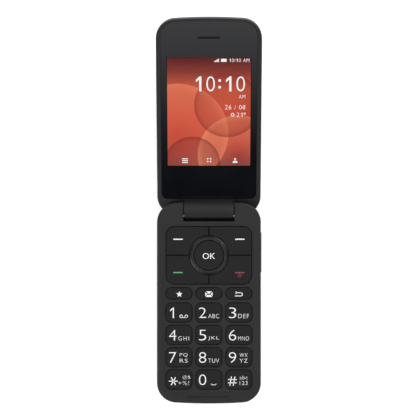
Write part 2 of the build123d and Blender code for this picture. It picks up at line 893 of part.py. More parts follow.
def build_function_key(x):
    flange = Rectangle(key_width + 2 * flange_lip, function_key_height + 2 * flange_lip)
    return Pos(x, function_row_y) * key_cap(function_key_face(), flange, key_top)


def build_corner_key(side, end):
    # One quarter of the panel round the ring
    gap = key_gap / 2
    reach = nav_width
    quarter = Pos(side * (reach / 2 + gap), nav_y + end * (reach / 2 + gap)) * Rectangle(reach, reach)
    hole = Pos(0, nav_y) * Circle(nav_ring_radius + key_gap)
    face = (nav_face() & quarter) - hole
    flange = (nav_face(flange_lip) & quarter) - hole
    return key_cap(face, flange, nav_top)


def build_ok_key():
    face = Pos(0, nav_y) * Circle(nav_ring_bore - key_gap)
    return key_cap(face, face, key_top)


def build_nav_ring():
    # Ring with a bright sloping face, highest at its bore
    low = flange_bottom + nav_pad_thickness + nav_pad_gap
    high = key_top + nav_ring_rise - key_edge / 2
    section = make_face(Polyline(
        (nav_ring_bore, low),
        (nav_ring_bore, high - nav_ring_edge),
        (nav_ring_bore + nav_ring_edge, high),
        (nav_ring_bore + nav_ring_top, high),
        (nav_ring_radius, nav_top),
        (nav_ring_radius, low),
        close=True,
    ))
    return Pos(0, nav_y) * revolve(Plane.XZ * section, Axis.Z)


def build_nav_pad():
    face = Pos(0, nav_y) * (Circle(nav_ring_radius - key_gap) - Circle(nav_ring_bore))
    return slab(face, flange_bottom, flange_bottom + nav_pad_thickness)


def build_volume_rocker():
    # Long rocker, crowned along its length, with a lip behind the wall
    inner = half_width - housing_wall - rocker_lip_gap
    side = Plane((inner, rocker_y, rocker_z), x_dir=(0, 1, 0), z_dir=(1, 0, 0))
    reach = housing_wall + rocker_lip_gap + rocker_proud
    blade = extrude(side * SlotOverall(rocker_length, rocker_height), reach)
    blade = chamfer(blade.edges().group_by(Axis.X)[-1], rocker_proud)
    lip = span_box(
        (inner - rocker_lip_thickness, inner),
        (rocker_y - rocker_length / 2 - rocker_lip, rocker_y + rocker_length / 2 + rocker_lip),
        (rocker_z - rocker_height / 2 - rocker_lip, rocker_z + rocker_height / 2 + rocker_lip))
    return blade + lip


# Lid: shells

def lens_outline(grow=0.0):
    # Follows the arched tip of the lid and ends in a straight edge before the hinge
    span = lens_width / 2 + grow
    tip_y = half_length - lens_tip_gap + grow
    tip, corner_y = arched_end(span, tip_y, lens_tip_corner + grow, end_arch_radius)
    tip = [mirror(curve, about=Plane.XZ) for curve in tip]
    chin_y = lens_chin_y + grow
    sides = [Line((side * span, -corner_y), (side * span, chin_y)) for side in (-1, 1)]
    face = make_face(tip + sides + [Line((-span, chin_y), (span, chin_y))])
    return fillet(face.vertices().group_by(Axis.Y)[-1], lens_chin_corner + grow)


def ear_sweep():
    # The space that the front corners of the two ears pass through, in the lid's own place
    first = barrel_length / 2
    last = half_width - corner_radius / 4
    stations = [first + (last - first) * step / sweep_steps for step in range(sweep_steps + 1)]
    corner = base_front_round

    def swept_radius(x):
        ahead = max(hinge_inset - end_drop(x) - corner, 0)
        return hypot(ahead, hinge_drop - corner) + corner + sweep_gap
    crest = Spline([(x, swept_radius(x)) for x in stations])
    profile = make_face([
        crest,
        Line((last, swept_radius(last)), (last, 0)),
        Line((last, 0), (first, 0)),
        Line((first, 0), (first, swept_radius(first))),
    ])
    ring = revolve(profile, Axis.X)
    return mirrored(Pos(0, hinge_y, hinge_z) * ring)


def build_lid_inner_frame():
    outer = lid_form()
    rim_edges = outer.edges().group_by(Axis.Z)[0]
    outer = chamfer(rim_edges, lid_rim_edge)
    below = slab(plan_outline(), lid_low, lid_seam - parting_gap)
    room = slab(plan_outline(housing_wall), ledge_top, lid_seam) - chin_block()
    frame = (outer & below) - room
    frame -= ear_sweep()
    barrel_span = (-barrel_length / 2, barrel_length / 2)
    frame += rod_along_x(barrel_radius, barrel_span, hinge_y, hinge_z)
    arm_span = (hinge_y - barrel_radius, hinge_y + arm_front)
    frame += span_box(barrel_span, arm_span, (hinge_z, lid_low + lid_rim_edge))
    frame -= rod_along_x(hinge_bore_radius, barrel_span, hinge_y, hinge_z)
    frame -= slab(lens_outline(lens_fit), lid_low - overcut, ledge_low)
    window = Pos(0, display_y) * Rectangle(display_width + 2 * display_fit, display_length + 2 * display_fit)
    frame -= slab(window, lid_low, ledge_top + overcut)
    ear_width, ear_length, _ = earpiece_size
    ear_seat = Pos(0, ear_slot_y) * Rectangle(ear_width + 2 * lens_fit, ear_length + 2 * lens_fit)
    frame -= slab(ear_seat, lid_low, ledge_top + overcut)
    frame -= flex_slot()
    for x, y in lid_screw_places():
        frame += Pos(x, y) * peg(lid_boss_radius, ledge_low, lid_seam - parting_gap)
        frame -= Pos(x, y) * peg(screw_shank_radius + stack_gap, lid_low, lid_seam)
        frame -= Pos(x, y) * peg(screw_head_radius + stack_gap, lid_low, ledge_low + screw_head_height)
    return frame


def chin_block():
    # The solid stretch of the inner shell between the lens and the hinge
    along = (lens_chin_y - housing_wall, half_length)
    return span_box((-half_width, half_width), along, (lid_low, lid_seam + overcut))


def flex_slot():
    x = flex_centre_x()
    span = flex_width / 2 + flex_slot_gap
    along = (hinge_y - flex_slot_gap, hinge_y + flex_slot_gap)
    return span_box((x - span, x + span), along, (hinge_z, lid_seam + overcut))


def flex_centre_x():
    return barrel_length / 2 - ear_boss_length / 2 - flex_width / 2 - 2 * flex_slot_gap


def lid_screw_places():
    x = half_width - lid_screw_side
    return [(side * x, y) for y in lid_screw_rows for side in (-1, 1)]


def build_lid_outer_cover():
    outer = lid_form()
    above = slab(plan_outline(), lid_seam, lid_top)
    cover = (outer & above) - (lid_form(housing_wall, inner=True) & above)
    seat = Pos(0, outer_lens_y) * RectangleRounded(
        outer_lens_width + 2 * lens_fit, outer_lens_length + 2 * lens_fit, outer_lens_corner + lens_fit)
    cover -= slab(seat, outer_lens_low - running_gap, lid_top + overcut)
    window = Pos(0, outer_lens_y) * Rectangle(
        outer_display_width + 2 * display_fit, outer_display_length + 2 * display_fit)
    cover -= slab(window, lid_seam, lid_top)
    camera_seat = Circle(camera_window_radius + lens_fit)
    cover -= Pos(0, camera_y) * slab(camera_seat, camera_window_low - running_gap, lid_top + overcut)
    cover -= Pos(0, camera_y) * slab(Circle(camera_aperture), lid_seam, lid_top)
    for x, y in lid_screw_places():
        cover += Pos(x, y) * peg(lid_boss_radius, lid_seam, lid_top - housing_wall)
        cover -= Pos(x, y) * peg(screw_shank_radius, lid_seam, lid_seam + screw_engagement)
    return cover


# Lid: what the shells hold

def build_display_lens():
    lens = slab(lens_outline(), lens_low, lens_low + lens_thickness)
    slot = Pos(0, ear_slot_y) * SlotOverall(ear_slot_length, ear_slot_height)
    return lens - slab(slot, lens_low - overcut, ledge_low)


def build_main_display():
    panel = slab(Rectangle(display_width, display_length), ledge_low, ledge_low + display_thickness)
    return Pos(0, display_y) * chamfer(panel.edges().filter_by(Axis.Z), display_corner)


def build_earpiece_mesh():
    face = Pos(0, ear_slot_y) * Rectangle(earpiece_size[0], earpiece_size[1])
    return slab(face, ledge_low, ledge_low + mesh_thickness)


def build_earpiece():
    width, length, height = earpiece_size
    low = ledge_low + mesh_thickness + running_gap
    return Pos(0, ear_slot_y) * slab(RectangleRounded(width, length, speaker_corner), low, low + height)


def build_lid_board():
    y = half_length - lid_board_chin_gap - lid_board_length / 2
    face = Pos(0, y) * RectangleRounded(lid_board_width, lid_board_length, lid_board_corner)
    return slab(face, lid_board_low, lid_board_low + lid_board_thickness)


def build_outer_display_lens():
    face = RectangleRounded(outer_lens_width, outer_lens_length, outer_lens_corner)
    return Pos(0, outer_lens_y) * slab(face, outer_lens_low, outer_lens_low + outer_lens_thickness)


def build_outer_display():
    top = outer_lens_low - stack_gap
    panel = slab(Rectangle(outer_display_width, outer_display_length), top - outer_display_thickness, top)
    return Pos(0, outer_lens_y) * chamfer(panel.edges().filter_by(Axis.Z), display_corner)


def build_camera_window():
    disc = slab(Circle(camera_window_radius), camera_window_low, camera_window_low + camera_window_thickness)
    return Pos(0, camera_y) * chamfer(disc.edges().group_by(Axis.Z)[-1], camera_window_edge)


def build_camera_module():
    width, length, height = camera_base
    top = camera_window_low - stack_gap
    low = top - camera_barrel_length - height
    body = slab(Rectangle(width, length), low, low + height)
    return Pos(0, camera_y) * (body + slab(Circle(camera_barrel_radius), low + height, top))


def build_hinge_cam_housing():
    # Drawn steel can of the cam unit, held in the left half of the barrel
    start = -barrel_length / 2 + running_gap
    can = rod_along_x(hinge_bore_radius - running_gap / 2, (start, start + cam_length), hinge_y, hinge_z)
    bore_end = start + cam_length - cam_end_wall
    return can - rod_along_x(cam_shaft_radius + running_gap, (start, bore_end), hinge_y, hinge_z)


def build_hinge_flex():
    # Flexible circuit: a flat run down from the lid and a roll along the hinge line
    x = flex_centre_x()
    roll_radius = hinge_bore_radius - hollow_pin_wall - sweep_gap - running_gap
    run = span_box(
        (x - flex_width / 2, x + flex_width / 2),
        (hinge_y - flex_thickness / 2, hinge_y + flex_thickness / 2),
        (hinge_z, lid_seam + flex_slot_gap))
    roll = rod_along_x(roll_radius, (x - flex_width / 2, ear_reach - 2 * ear_end_gap), hinge_y, hinge_z)
    return run + roll


def build_lid_magnet():
    width, length, height = magnet_size
    y = magnet_tip_gap - half_length
    along = (y - length / 2, y + length / 2)
    return span_box((-width / 2, width / 2), along, (ledge_top, ledge_top + height))


def build_lid_screws():
    screws = []
    for x, y in lid_screw_places():
        seat = ledge_low + screw_head_height
        head = peg(screw_head_radius, ledge_low + running_gap, seat)
        shank = peg(screw_shank_radius - running_gap, seat, lid_seam + screw_engagement - stack_gap)
        screws.append(Pos(x, y) * (head + shank))
    return Compound(children=screws)


# The assembly: every piece by its node name

base_pieces = {
    "base_front_housing": build_base_front_housing(),
    "battery_cover": build_battery_cover(),
    "base_rear_housing": build_base_rear_housing(),
    "battery": build_battery(),
    "battery_contacts": build_battery_contacts(),
    "main_board": build_main_board(),
    "dome_sheet": build_dome_sheet(),
    "key_mat": build_key_mat(),
    "usb_port": build_usb_port(),
    "headset_jack": build_headset_jack(),
    "loudspeaker": build_loudspeaker(),
    "speaker_mesh": build_speaker_mesh(),
    "microphone": build_microphone(),
    "vibration_motor": build_vibration_motor(),
    "card_socket": build_card_socket(),
    "shield_can": build_shield_can(),
    "antenna": build_antenna(),
    "housing_screws": build_housing_screws(),
    "hinge_shaft": build_hinge_shaft(),
    "hinge_hollow_pin": build_hinge_hollow_pin(),
    "ok_key": build_ok_key(),
    "nav_ring": build_nav_ring(),
    "nav_pad": build_nav_pad(),
    "soft_key_left": build_corner_key(-1, 1),
    "soft_key_right": build_corner_key(1, 1),
    "send_key": build_corner_key(-1, -1),
    "end_key": build_corner_key(1, -1),
    "volume_rocker": build_volume_rocker(),
}
for name, x in zip(function_names, key_columns):
    base_pieces[name] = build_function_key(x)
for names, y in zip(number_names, number_rows):
    for name, x in zip(names, key_columns):
        base_pieces[name] = build_number_key(x, y)

lid_pieces = {
    "lid_inner_frame": build_lid_inner_frame(),
    "lid_outer_cover": build_lid_outer_cover(),
    "display_lens": build_display_lens(),
    "main_display": build_main_display(),
    "earpiece": build_earpiece(),
    "earpiece_mesh": build_earpiece_mesh(),
    "lid_board": build_lid_board(),
    "outer_display_lens": build_outer_display_lens(),
    "outer_display": build_outer_display(),
    "camera_window": build_camera_window(),
    "camera_module": build_camera_module(),
    "hinge_cam_housing": build_hinge_cam_housing(),
    "hinge_flex": build_hinge_flex(),
    "lid_magnet": build_lid_magnet(),
    "lid_screws": build_lid_screws(),
}
opened_lid = {name: piece.rotate(hinge_line, -open_angle) for name, piece in lid_pieces.items()}

os.makedirs("parts", exist_ok=True)
for name, piece in {**base_pieces, **opened_lid}.items():
    export_step(piece, f"parts/{name}.step")
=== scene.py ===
import json
import math

import bpy
from mathutils import Matrix, Vector


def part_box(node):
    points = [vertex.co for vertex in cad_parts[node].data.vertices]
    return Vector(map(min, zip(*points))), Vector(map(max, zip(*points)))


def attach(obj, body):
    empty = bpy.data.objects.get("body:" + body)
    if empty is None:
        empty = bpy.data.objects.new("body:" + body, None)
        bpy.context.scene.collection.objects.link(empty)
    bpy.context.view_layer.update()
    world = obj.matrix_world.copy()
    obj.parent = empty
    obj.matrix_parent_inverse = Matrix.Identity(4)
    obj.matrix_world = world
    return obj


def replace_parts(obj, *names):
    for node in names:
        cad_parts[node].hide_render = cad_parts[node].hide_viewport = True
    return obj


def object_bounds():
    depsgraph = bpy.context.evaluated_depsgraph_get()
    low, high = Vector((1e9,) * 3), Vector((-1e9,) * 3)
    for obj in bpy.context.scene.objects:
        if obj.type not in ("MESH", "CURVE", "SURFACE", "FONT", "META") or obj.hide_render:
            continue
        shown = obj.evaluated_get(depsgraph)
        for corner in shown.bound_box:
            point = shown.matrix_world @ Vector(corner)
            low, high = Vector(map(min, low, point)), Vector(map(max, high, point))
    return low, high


# Flip phone, opened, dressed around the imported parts. Metres, in the parts' own frame.
mm = 0.001

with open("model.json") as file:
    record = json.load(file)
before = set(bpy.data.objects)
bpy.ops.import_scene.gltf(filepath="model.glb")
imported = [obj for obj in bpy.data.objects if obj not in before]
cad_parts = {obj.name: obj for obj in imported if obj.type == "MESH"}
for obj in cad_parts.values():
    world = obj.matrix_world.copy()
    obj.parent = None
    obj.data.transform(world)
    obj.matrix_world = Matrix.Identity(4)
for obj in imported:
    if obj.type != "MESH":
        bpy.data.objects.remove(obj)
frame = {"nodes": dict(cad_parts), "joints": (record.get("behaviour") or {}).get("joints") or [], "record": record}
nodes = frame["nodes"]
cadBox = [list(corner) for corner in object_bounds()]
print("frame loaded:", len(nodes), "nodes")

# The lid is stored open. What is new on it is drawn as the lid lies when shut, then swung open.
lidJoint = next(joint for joint in frame["joints"] if joint["name"] == "lid_hinge")
hinge = Vector(lidJoint["pos_m"])
openAngle = math.radians(lidJoint["range_deg"][1])
swingOpen = Matrix.Translation(hinge) @ Matrix.Rotation(-openAngle, 4, "X") @ Matrix.Translation(-hinge)
shut = {
    "hingeEnd": hinge.y + 4.5 * mm,  # the lid's end at the hinge, along Y
    "displayFace": 12.2 * mm,  # heights of its faces
    "outerDisplayFace": 17.9 * mm,
    "outerLensFace": 18.8 * mm,
}
# Settings of a Mapping node: the first turns a place on the open lid into its place on the shut one
onLid = {"Rotation": (openAngle, 0, 0), "Location": tuple(hinge - Matrix.Rotation(openAngle, 3, "X") @ hinge)}
asItLies = {}

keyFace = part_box("key_5")[1].z
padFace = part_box("send_key")[1].z
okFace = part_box("ok_key")[1].z
printLift = 0.012 * mm  # thickness of the ink
pixelLift = 0.03 * mm  # lit signs stand this far off their display


def linear(hexColour):
    # sRGB hex to linear, as the shaders want it
    values = [int(hexColour[i:i + 2], 16) / 255 for i in (1, 3, 5)]
    return tuple(v / 12.92 if v <= 0.04045 else ((v + 0.055) / 1.055) ** 2.4 for v in values) + (1.0,)


def startMaterial(name):
    material = bpy.data.materials.new(name)
    material.use_nodes = True
    material.node_tree.nodes.clear()
    return material, material.node_tree


def addNode(tree, kind, inputs=None, stops=(), **settings):
    # one node with its settings; an input is a value or the output that feeds it
    node = tree.nodes.new("ShaderNode" + kind)
    for key, value in settings.items():
        setattr(node, key, value)
    for key, value in (inputs or {}).items():
        if isinstance(value, bpy.types.NodeSocket):
            tree.links.new(value, node.inputs[key])
        else:
            node.inputs[key].default_value = value
    for index, (position, colour) in enumerate(stops):  # of a colour ramp, which starts with two
        elements = node.color_ramp.elements
        element = elements[index] if index < 2 else elements.new(position)
        element.position = position
        element.color = linear(colour) if isinstance(colour, str) else colour
    return node


def mouldedPlastic(name, look):
    # moulded ABS and polycarbonate: fine spark-eroded grain that spreads its highlights
    material, tree = startMaterial(name)
    place = addNode(tree, "TexCoord").outputs["Object"]
    grain = addNode(tree, "TexNoise", {"Vector": place, "Scale": 1 / look["grain"], "Detail": 3.0,
                                       "Roughness": 0.6}).outputs["Fac"]
    patches = addNode(tree, "TexNoise", {"Vector": place, "Scale": 1 / look["patch"],
                                         "Detail": 2.0}).outputs["Fac"]
    colour = addNode(tree, "ValToRGB", {"Fac": patches}, [(0.3, look["dark"]), (0.7, look["light"])])
    rough = addNode(tree, "Math", {0: grain, 1: look["roughnessSpread"], 2: look["roughness"]},
                    operation="MULTIPLY_ADD")
    bump = addNode(tree, "Bump", {"Height": grain, "Distance": look["depth"], "Strength": look["bump"]})
    shader = addNode(tree, "BsdfPrincipled", {
        "Base Color": colour.outputs[0], "Roughness": rough.outputs[0], "Normal": bump.outputs[0],
        "IOR": 1.5, "Specular IOR Level": look["specular"]})
    addNode(tree, "OutputMaterial", {"Surface": shader.outputs[0]})
    return material


def texturedCover(name, look, place):
    # the same plastic with rows of fine raised lozenges, as the tool was etched; painted shade darkens the grooves
    # and a painted highlight lightens the lozenge tops
    material, tree = startMaterial(name)
    drawn = addNode(tree, "TexCoord").outputs["Object"]
    where = addNode(tree, "Mapping", {"Vector": drawn, **place}).outputs[0]
    turns = math.pi / look["pitch"]
    waves = []
    for lean in (1, -1):
        run = addNode(tree, "VectorMath", {0: where, 1: (turns, lean * turns, 0)}, operation="DOT_PRODUCT")
        waves.append(addNode(tree, "Math", {0: run.outputs["Value"]}, operation="SINE").outputs[0])
    product = addNode(tree, "Math", {0: waves[0], 1: waves[1]}, operation="MULTIPLY").outputs[0]
    height = addNode(tree, "Math", {0: product}, operation="ABSOLUTE").outputs[0]
    grain = addNode(tree, "TexNoise", {"Vector": where, "Scale": 1 / look["grain"], "Detail": 2.0})
    # painted shade and highlight: the colour follows the relief, dark in the grooves and light on the lozenge tops
    colour = addNode(tree, "Mix", {0: height, 6: linear(look["dark"]), 7: linear(look["light"])},
                     data_type="RGBA")
    rough = addNode(tree, "Math", {0: grain.outputs["Fac"], 1: look["roughnessSpread"],
                                   2: look["roughness"]}, operation="MULTIPLY_ADD")
    bump = addNode(tree, "Bump", {"Height": height, "Distance": look["depth"], "Strength": look["bump"]})
    shader = addNode(tree, "BsdfPrincipled", {
        "Base Color": colour.outputs[2], "Roughness": rough.outputs[0], "Normal": bump.outputs[0],
        "IOR": 1.5, "Specular IOR Level": look["specular"]})
    addNode(tree, "OutputMaterial", {"Surface": shader.outputs[0]})
    return material


def darkChrome(name, look):
    # vacuum-metallised plastic under a smoked lacquer: a dark mirror, its reflections softened a little
    material, tree = startMaterial(name)
    place = addNode(tree, "TexCoord").outputs["Object"]
    haze = addNode(tree, "TexNoise", {"Vector": place, "Scale": 1 / look["haze"],
                                      "Detail": 2.0}).outputs["Fac"]
    rough = addNode(tree, "Math", {0: haze, 1: look["roughnessSpread"], 2: look["roughness"]},
                    operation="MULTIPLY_ADD")
    colour = addNode(tree, "ValToRGB", {"Fac": haze}, [(0.35, look["dark"]), (0.65, look["light"])])
    shader = addNode(tree, "BsdfPrincipled", {
        "Base Color": colour.outputs[0], "Roughness": rough.outputs[0], "Metallic": 1.0})
    addNode(tree, "OutputMaterial", {"Surface": shader.outputs[0]})
    return material


def insideRectangle(tree, where, look):
    # 1 inside the area, 0 outside
    offset = addNode(tree, "VectorMath", {0: where, 1: (0, look["middle"], 0)}, operation="SUBTRACT")
    reach = addNode(tree, "VectorMath", {0: offset.outputs[0]}, operation="ABSOLUTE")
    split = addNode(tree, "SeparateXYZ", {"Vector": reach.outputs[0]})
    inside = [addNode(tree, "Math", {0: split.outputs[axis], 1: look[side] / 2}, operation="LESS_THAN")
              for axis, side in (("X", "width"), ("Y", "length"))]
    return addNode(tree, "Math", {0: inside[0].outputs[0], 1: inside[1].outputs[0]},
                   operation="MULTIPLY").outputs[0]


def insideCircle(tree, where, look):
    flat = addNode(tree, "VectorMath", {0: where, 1: (1, 1, 0)}, operation="MULTIPLY").outputs[0]
    reach = addNode(tree, "VectorMath", {0: flat, 1: (0, look["middle"], 0)}, operation="DISTANCE")
    return addNode(tree, "Math", {0: reach.outputs["Value"], 1: look["radius"]},
                   operation="LESS_THAN").outputs[0]


def windowLens(name, look, inside):
    # hard-coated acrylic, printed black on its back except for the clear window
    material, tree = startMaterial(name)
    drawn = addNode(tree, "TexCoord").outputs["Object"]
    where = addNode(tree, "Mapping", {"Vector": drawn, **onLid}).outputs[0]
    alpha = addNode(tree, "Math", {0: inside(tree, where, look), 1: look["clearness"] - 1, 2: 1.0},
                    operation="MULTIPLY_ADD")
    smear = addNode(tree, "TexNoise", {"Vector": drawn, "Scale": 1 / look["smear"],
                                       "Detail": 2.0}).outputs["Fac"]
    rough = addNode(tree, "Math", {0: smear, 1: look["roughnessSpread"], 2: look["roughness"]},
                    operation="MULTIPLY_ADD")
    tint = addNode(tree, "ValToRGB", {"Fac": smear}, [(0.3, look["dark"]), (0.7, look["light"])])
    shader = addNode(tree, "BsdfPrincipled", {
        "Base Color": tint.outputs[0], "Roughness": rough.outputs[0], "Alpha": alpha.outputs[0],
        "IOR": 1.49})
    addNode(tree, "OutputMaterial", {"Surface": shader.outputs[0]})
    return material


def displayGlass(name, look):
    # display under its polariser: dark glass, lit inside its active area by soft overlapping discs
    material, tree = startMaterial(name)
    drawn = addNode(tree, "TexCoord").outputs["Object"]
    where = addNode(tree, "Mapping", {"Vector": drawn, **onLid}).outputs[0]
    lit = insideRectangle(tree, where, look)
    shape = look["length"] / look["width"]
    upScale = look["up"] / look["width"]
    # across the picture from 0 to 1, and up it from 0 to its shape
    place = addNode(tree, "Mapping", {
        "Vector": where, "Scale": (1 / look["width"], upScale, 0),
        "Location": (0.5, shape / 2 - look["middle"] * upScale, 0)}).outputs[0]
    split = addNode(tree, "SeparateXYZ", {"Vector": place})
    up = addNode(tree, "Math", {0: split.outputs["Y"], 1: shape}, operation="DIVIDE").outputs[0]
    picture = addNode(tree, "ValToRGB", {"Fac": up}, look["sky"]).outputs[0]
    for centreX, centreY, radius, shade, strength in look["discs"]:
        reach = addNode(tree, "VectorMath", {0: place, 1: (centreX, centreY * shape, 0)},
                        operation="DISTANCE").outputs["Value"]
        share = addNode(tree, "Math", {0: reach, 1: radius}, operation="DIVIDE").outputs[0]
        fade = addNode(tree, "ValToRGB", {"Fac": share}, discFade).outputs[0]
        grey = addNode(tree, "RGBToBW", {"Color": fade}).outputs[0]
        weight = addNode(tree, "Math", {0: grey, 1: strength}, operation="MULTIPLY").outputs[0]
        picture = addNode(tree, "Mix", {0: weight, 6: picture, 7: linear(shade)},
                          data_type="RGBA").outputs[2]
    shown = addNode(tree, "Mix", {0: lit, 6: (0, 0, 0, 1), 7: picture}, data_type="RGBA").outputs[2]
    glass = addNode(tree, "Mix", {0: lit, 6: linear(look["unlit"]), 7: linear(look["underPicture"])},
                    data_type="RGBA").outputs[2]
    shader = addNode(tree, "BsdfPrincipled", {
        "Base Color": glass, "Emission Color": shown, "Emission Strength": look["strength"],
        "Roughness": look["roughness"], "IOR": 1.5, "Specular IOR Level": look["specular"]})
    addNode(tree, "OutputMaterial", {"Surface": shader.outputs[0]})
    return material


def paintedInk(name, look):
    # pad-printed ink: solid and matt, slightly uneven where the pad pressed it on
    material, tree = startMaterial(name)
    place = addNode(tree, "TexCoord").outputs["Object"]
    speck = addNode(tree, "TexNoise", {"Vector": place, "Scale": 1 / look["speck"], "Detail": 1.0})
    full = linear(look["colour"])
    dim = tuple(look["dim"] * value for value in full[:3]) + (1.0,)
    colour = addNode(tree, "ValToRGB", {"Fac": speck.outputs["Fac"]}, [(0.35, dim), (0.65, full)])
    shader = addNode(tree, "BsdfPrincipled", {
        "Base Color": colour.outputs[0], "Roughness": look["roughness"]})
    addNode(tree, "OutputMaterial", {"Surface": shader.outputs[0]})
    return material


def litPixels(name, look):
    # lit pixels of a display: flat white light, a little uneven from pixel to pixel
    material, tree = startMaterial(name)
    place = addNode(tree, "TexCoord").outputs["Object"]
    glow = addNode(tree, "TexNoise", {"Vector": place, "Scale": 1 / look["speck"]})
    full = linear(look["colour"])
    dim = tuple(look["dim"] * value for value in full[:3]) + (1.0,)
    lit = addNode(tree, "ValToRGB", {"Fac": glow.outputs["Fac"]}, [(0.3, dim), (0.7, full)])
    shader = addNode(tree, "BsdfPrincipled", {
        "Base Color": (0, 0, 0, 1), "Emission Color": lit.outputs[0],
        "Emission Strength": look["strength"], "Roughness": look["roughness"]})
    addNode(tree, "OutputMaterial", {"Surface": shader.outputs[0]})
    return material


def plainPart(name, look):
    # parts inside the shells: metal sheet, foil, board and film, each with its own grain
    material, tree = startMaterial(name)
    drawn = addNode(tree, "TexCoord").outputs["Object"]
    place = addNode(tree, "Mapping", {"Vector": drawn, "Scale": look["stretch"]}).outputs[0]
    grain = addNode(tree, "TexNoise", {"Vector": place, "Scale": 1 / look["grain"],
                                       "Detail": 3.0}).outputs["Fac"]
    colour = addNode(tree, "ValToRGB", {"Fac": grain}, [(0.35, look["dark"]), (0.65, look["light"])])
    rough = addNode(tree, "Math", {0: grain, 1: look["roughnessSpread"], 2: look["roughness"]},
                    operation="MULTIPLY_ADD")
    bump = addNode(tree, "Bump", {"Height": grain, "Distance": look["grain"] * look["depthShare"],
                                  "Strength": look["bump"]})
    shader = addNode(tree, "BsdfPrincipled", {
        "Base Color": colour.outputs[0], "Roughness": rough.outputs[0], "Normal": bump.outputs[0],
        "Metallic": look["metallic"]})
    addNode(tree, "OutputMaterial", {"Surface": shader.outputs[0]})
    return material


def meshSteel(name, look):
    # woven wire cloth behind a slot: bright wires, with round openings painted near black as painted shade of the
    # space behind them
    material, tree = startMaterial(name)
    place = addNode(tree, "TexCoord").outputs["Object"]
    split = addNode(tree, "SeparateXYZ", {"Vector": place})
    waves = []
    for axis in ("X", "Y"):
        turn = addNode(tree, "Math", {0: split.outputs[axis], 1: math.pi / look["pitch"]},
                       operation="MULTIPLY").outputs[0]
        wave = addNode(tree, "Math", {0: turn}, operation="SINE").outputs[0]
        waves.append(addNode(tree, "Math", {0: wave}, operation="ABSOLUTE").outputs[0])
    hole = addNode(tree, "Math", {0: waves[0], 1: waves[1]}, operation="MULTIPLY").outputs[0]
    # the openings take the hole colour, painted shade of the space behind the cloth
    colour = addNode(tree, "ValToRGB", {"Fac": hole}, [(0.35, look["wire"]), (0.6, look["hole"])])
    bump = addNode(tree, "Bump", {"Height": hole, "Distance": look["pitch"] * look["depthShare"],
                                  "Strength": look["bump"]})
    shader = addNode(tree, "BsdfPrincipled", {
        "Base Color": colour.outputs[0], "Normal": bump.outputs[0], "Metallic": look["metallic"],
        "Roughness": look["roughness"]})
    addNode(tree, "OutputMaterial", {"Surface": shader.outputs[0]})
    return material


shellLook = {"grain": 0.12 * mm, "patch": 22 * mm, "dark": "#1a1a1b", "light": "#1e1e20",
             "roughness": 0.44, "roughnessSpread": 0.12, "specular": 0.22, "depth": 0.01 * mm, "bump": 0.25}
keyLook = {"grain": 0.10 * mm, "patch": 16 * mm, "dark": "#101011", "light": "#131314",
           "roughness": 0.40, "roughnessSpread": 0.10, "specular": 0.17, "depth": 0.01 * mm, "bump": 0.2}
# on the etched cover, dark is painted shade in the grooves and light is a painted highlight on the lozenge tops
coverLook = {"grain": 0.12 * mm, "dark": "#17171a", "light": "#202023", "pitch": 0.62 * mm,
             "roughness": 0.42, "roughnessSpread": 0.12, "specular": 0.26, "depth": 0.03 * mm, "bump": 0.5}
chromeLook = {"haze": 1.5 * mm, "dark": "#2f3032", "light": "#353639", "roughness": 0.14,
              "roughnessSpread": 0.06}

# The picture's colours from its low edge up, and its discs: centre, radius, colour and strength.
# Each disc is brightest at its rim and fades inwards.
discFade = [(0.0, (0.10, 0.10, 0.10, 1)), (0.86, (0.55, 0.55, 0.55, 1)), (0.985, (1, 1, 1, 1)),
            (1.0, (0, 0, 0, 1))]
screenPalette = [(0.0, "#641f2c"), (0.10, "#9c3230"), (0.24, "#c04434"), (0.45, "#cf4d36"),
                 (0.70, "#cb5a40"), (0.86, "#85352a"), (1.0, "#4a0c10")]
displayLook = {"sky": screenPalette, "unlit": "#0b0c0e", "underPicture": "#120404", "roughness": 0.25,
               "specular": 0.2}
mainScreen = {
    **displayLook, "width": 42.8 * mm, "length": 57.8 * mm, "middle": -3.7 * mm,
    "up": -1.0, "strength": 1.05,
    "discs": [(0.12, 0.30, 0.62, "#f08562", 0.62), (0.86, 0.10, 0.50, "#f59a74", 0.58),
              (0.72, 0.56, 0.40, "#8a2522", 0.66), (0.30, 0.02, 0.34, "#741b1f", 0.66)],
}
outerScreen = {
    **displayLook, "width": 25.4 * mm, "length": 26.6 * mm, "middle": 1.55 * mm,
    "up": 1.0, "strength": 0.95,
    "discs": [(0.15, 0.30, 0.60, "#e98160", 0.55), (0.88, 0.08, 0.46, "#f09a72", 0.50)],
}
lensLook = {"clearness": 0.05, "smear": 14 * mm, "roughness": 0.06, "roughnessSpread": 0.04,
            "dark": "#07080b", "light": "#0a0b0e"}
mainWindow = {**lensLook, "width": 43.4 * mm, "length": 57.8 * mm, "middle": -3.7 * mm,
              "dark": "#08090d", "light": "#0b0c11"}
outerWindow = {**lensLook, "width": 25.6 * mm, "length": 26.8 * mm, "middle": 1.55 * mm}
cameraLook = {"fromHinge": 14.3 * mm, "ringRadius": 4.45 * mm, "ringStroke": 0.35 * mm,
              "lensRadius": 1.7 * mm, "lensFlat": 1.0 * mm, "lensTop": 17.75 * mm, "smooth": 40}
cameraWindow = {**lensLook, "radius": 2.3 * mm, "middle": shut["hingeEnd"] - cameraLook["fromHinge"],
                "clearness": 0.3}

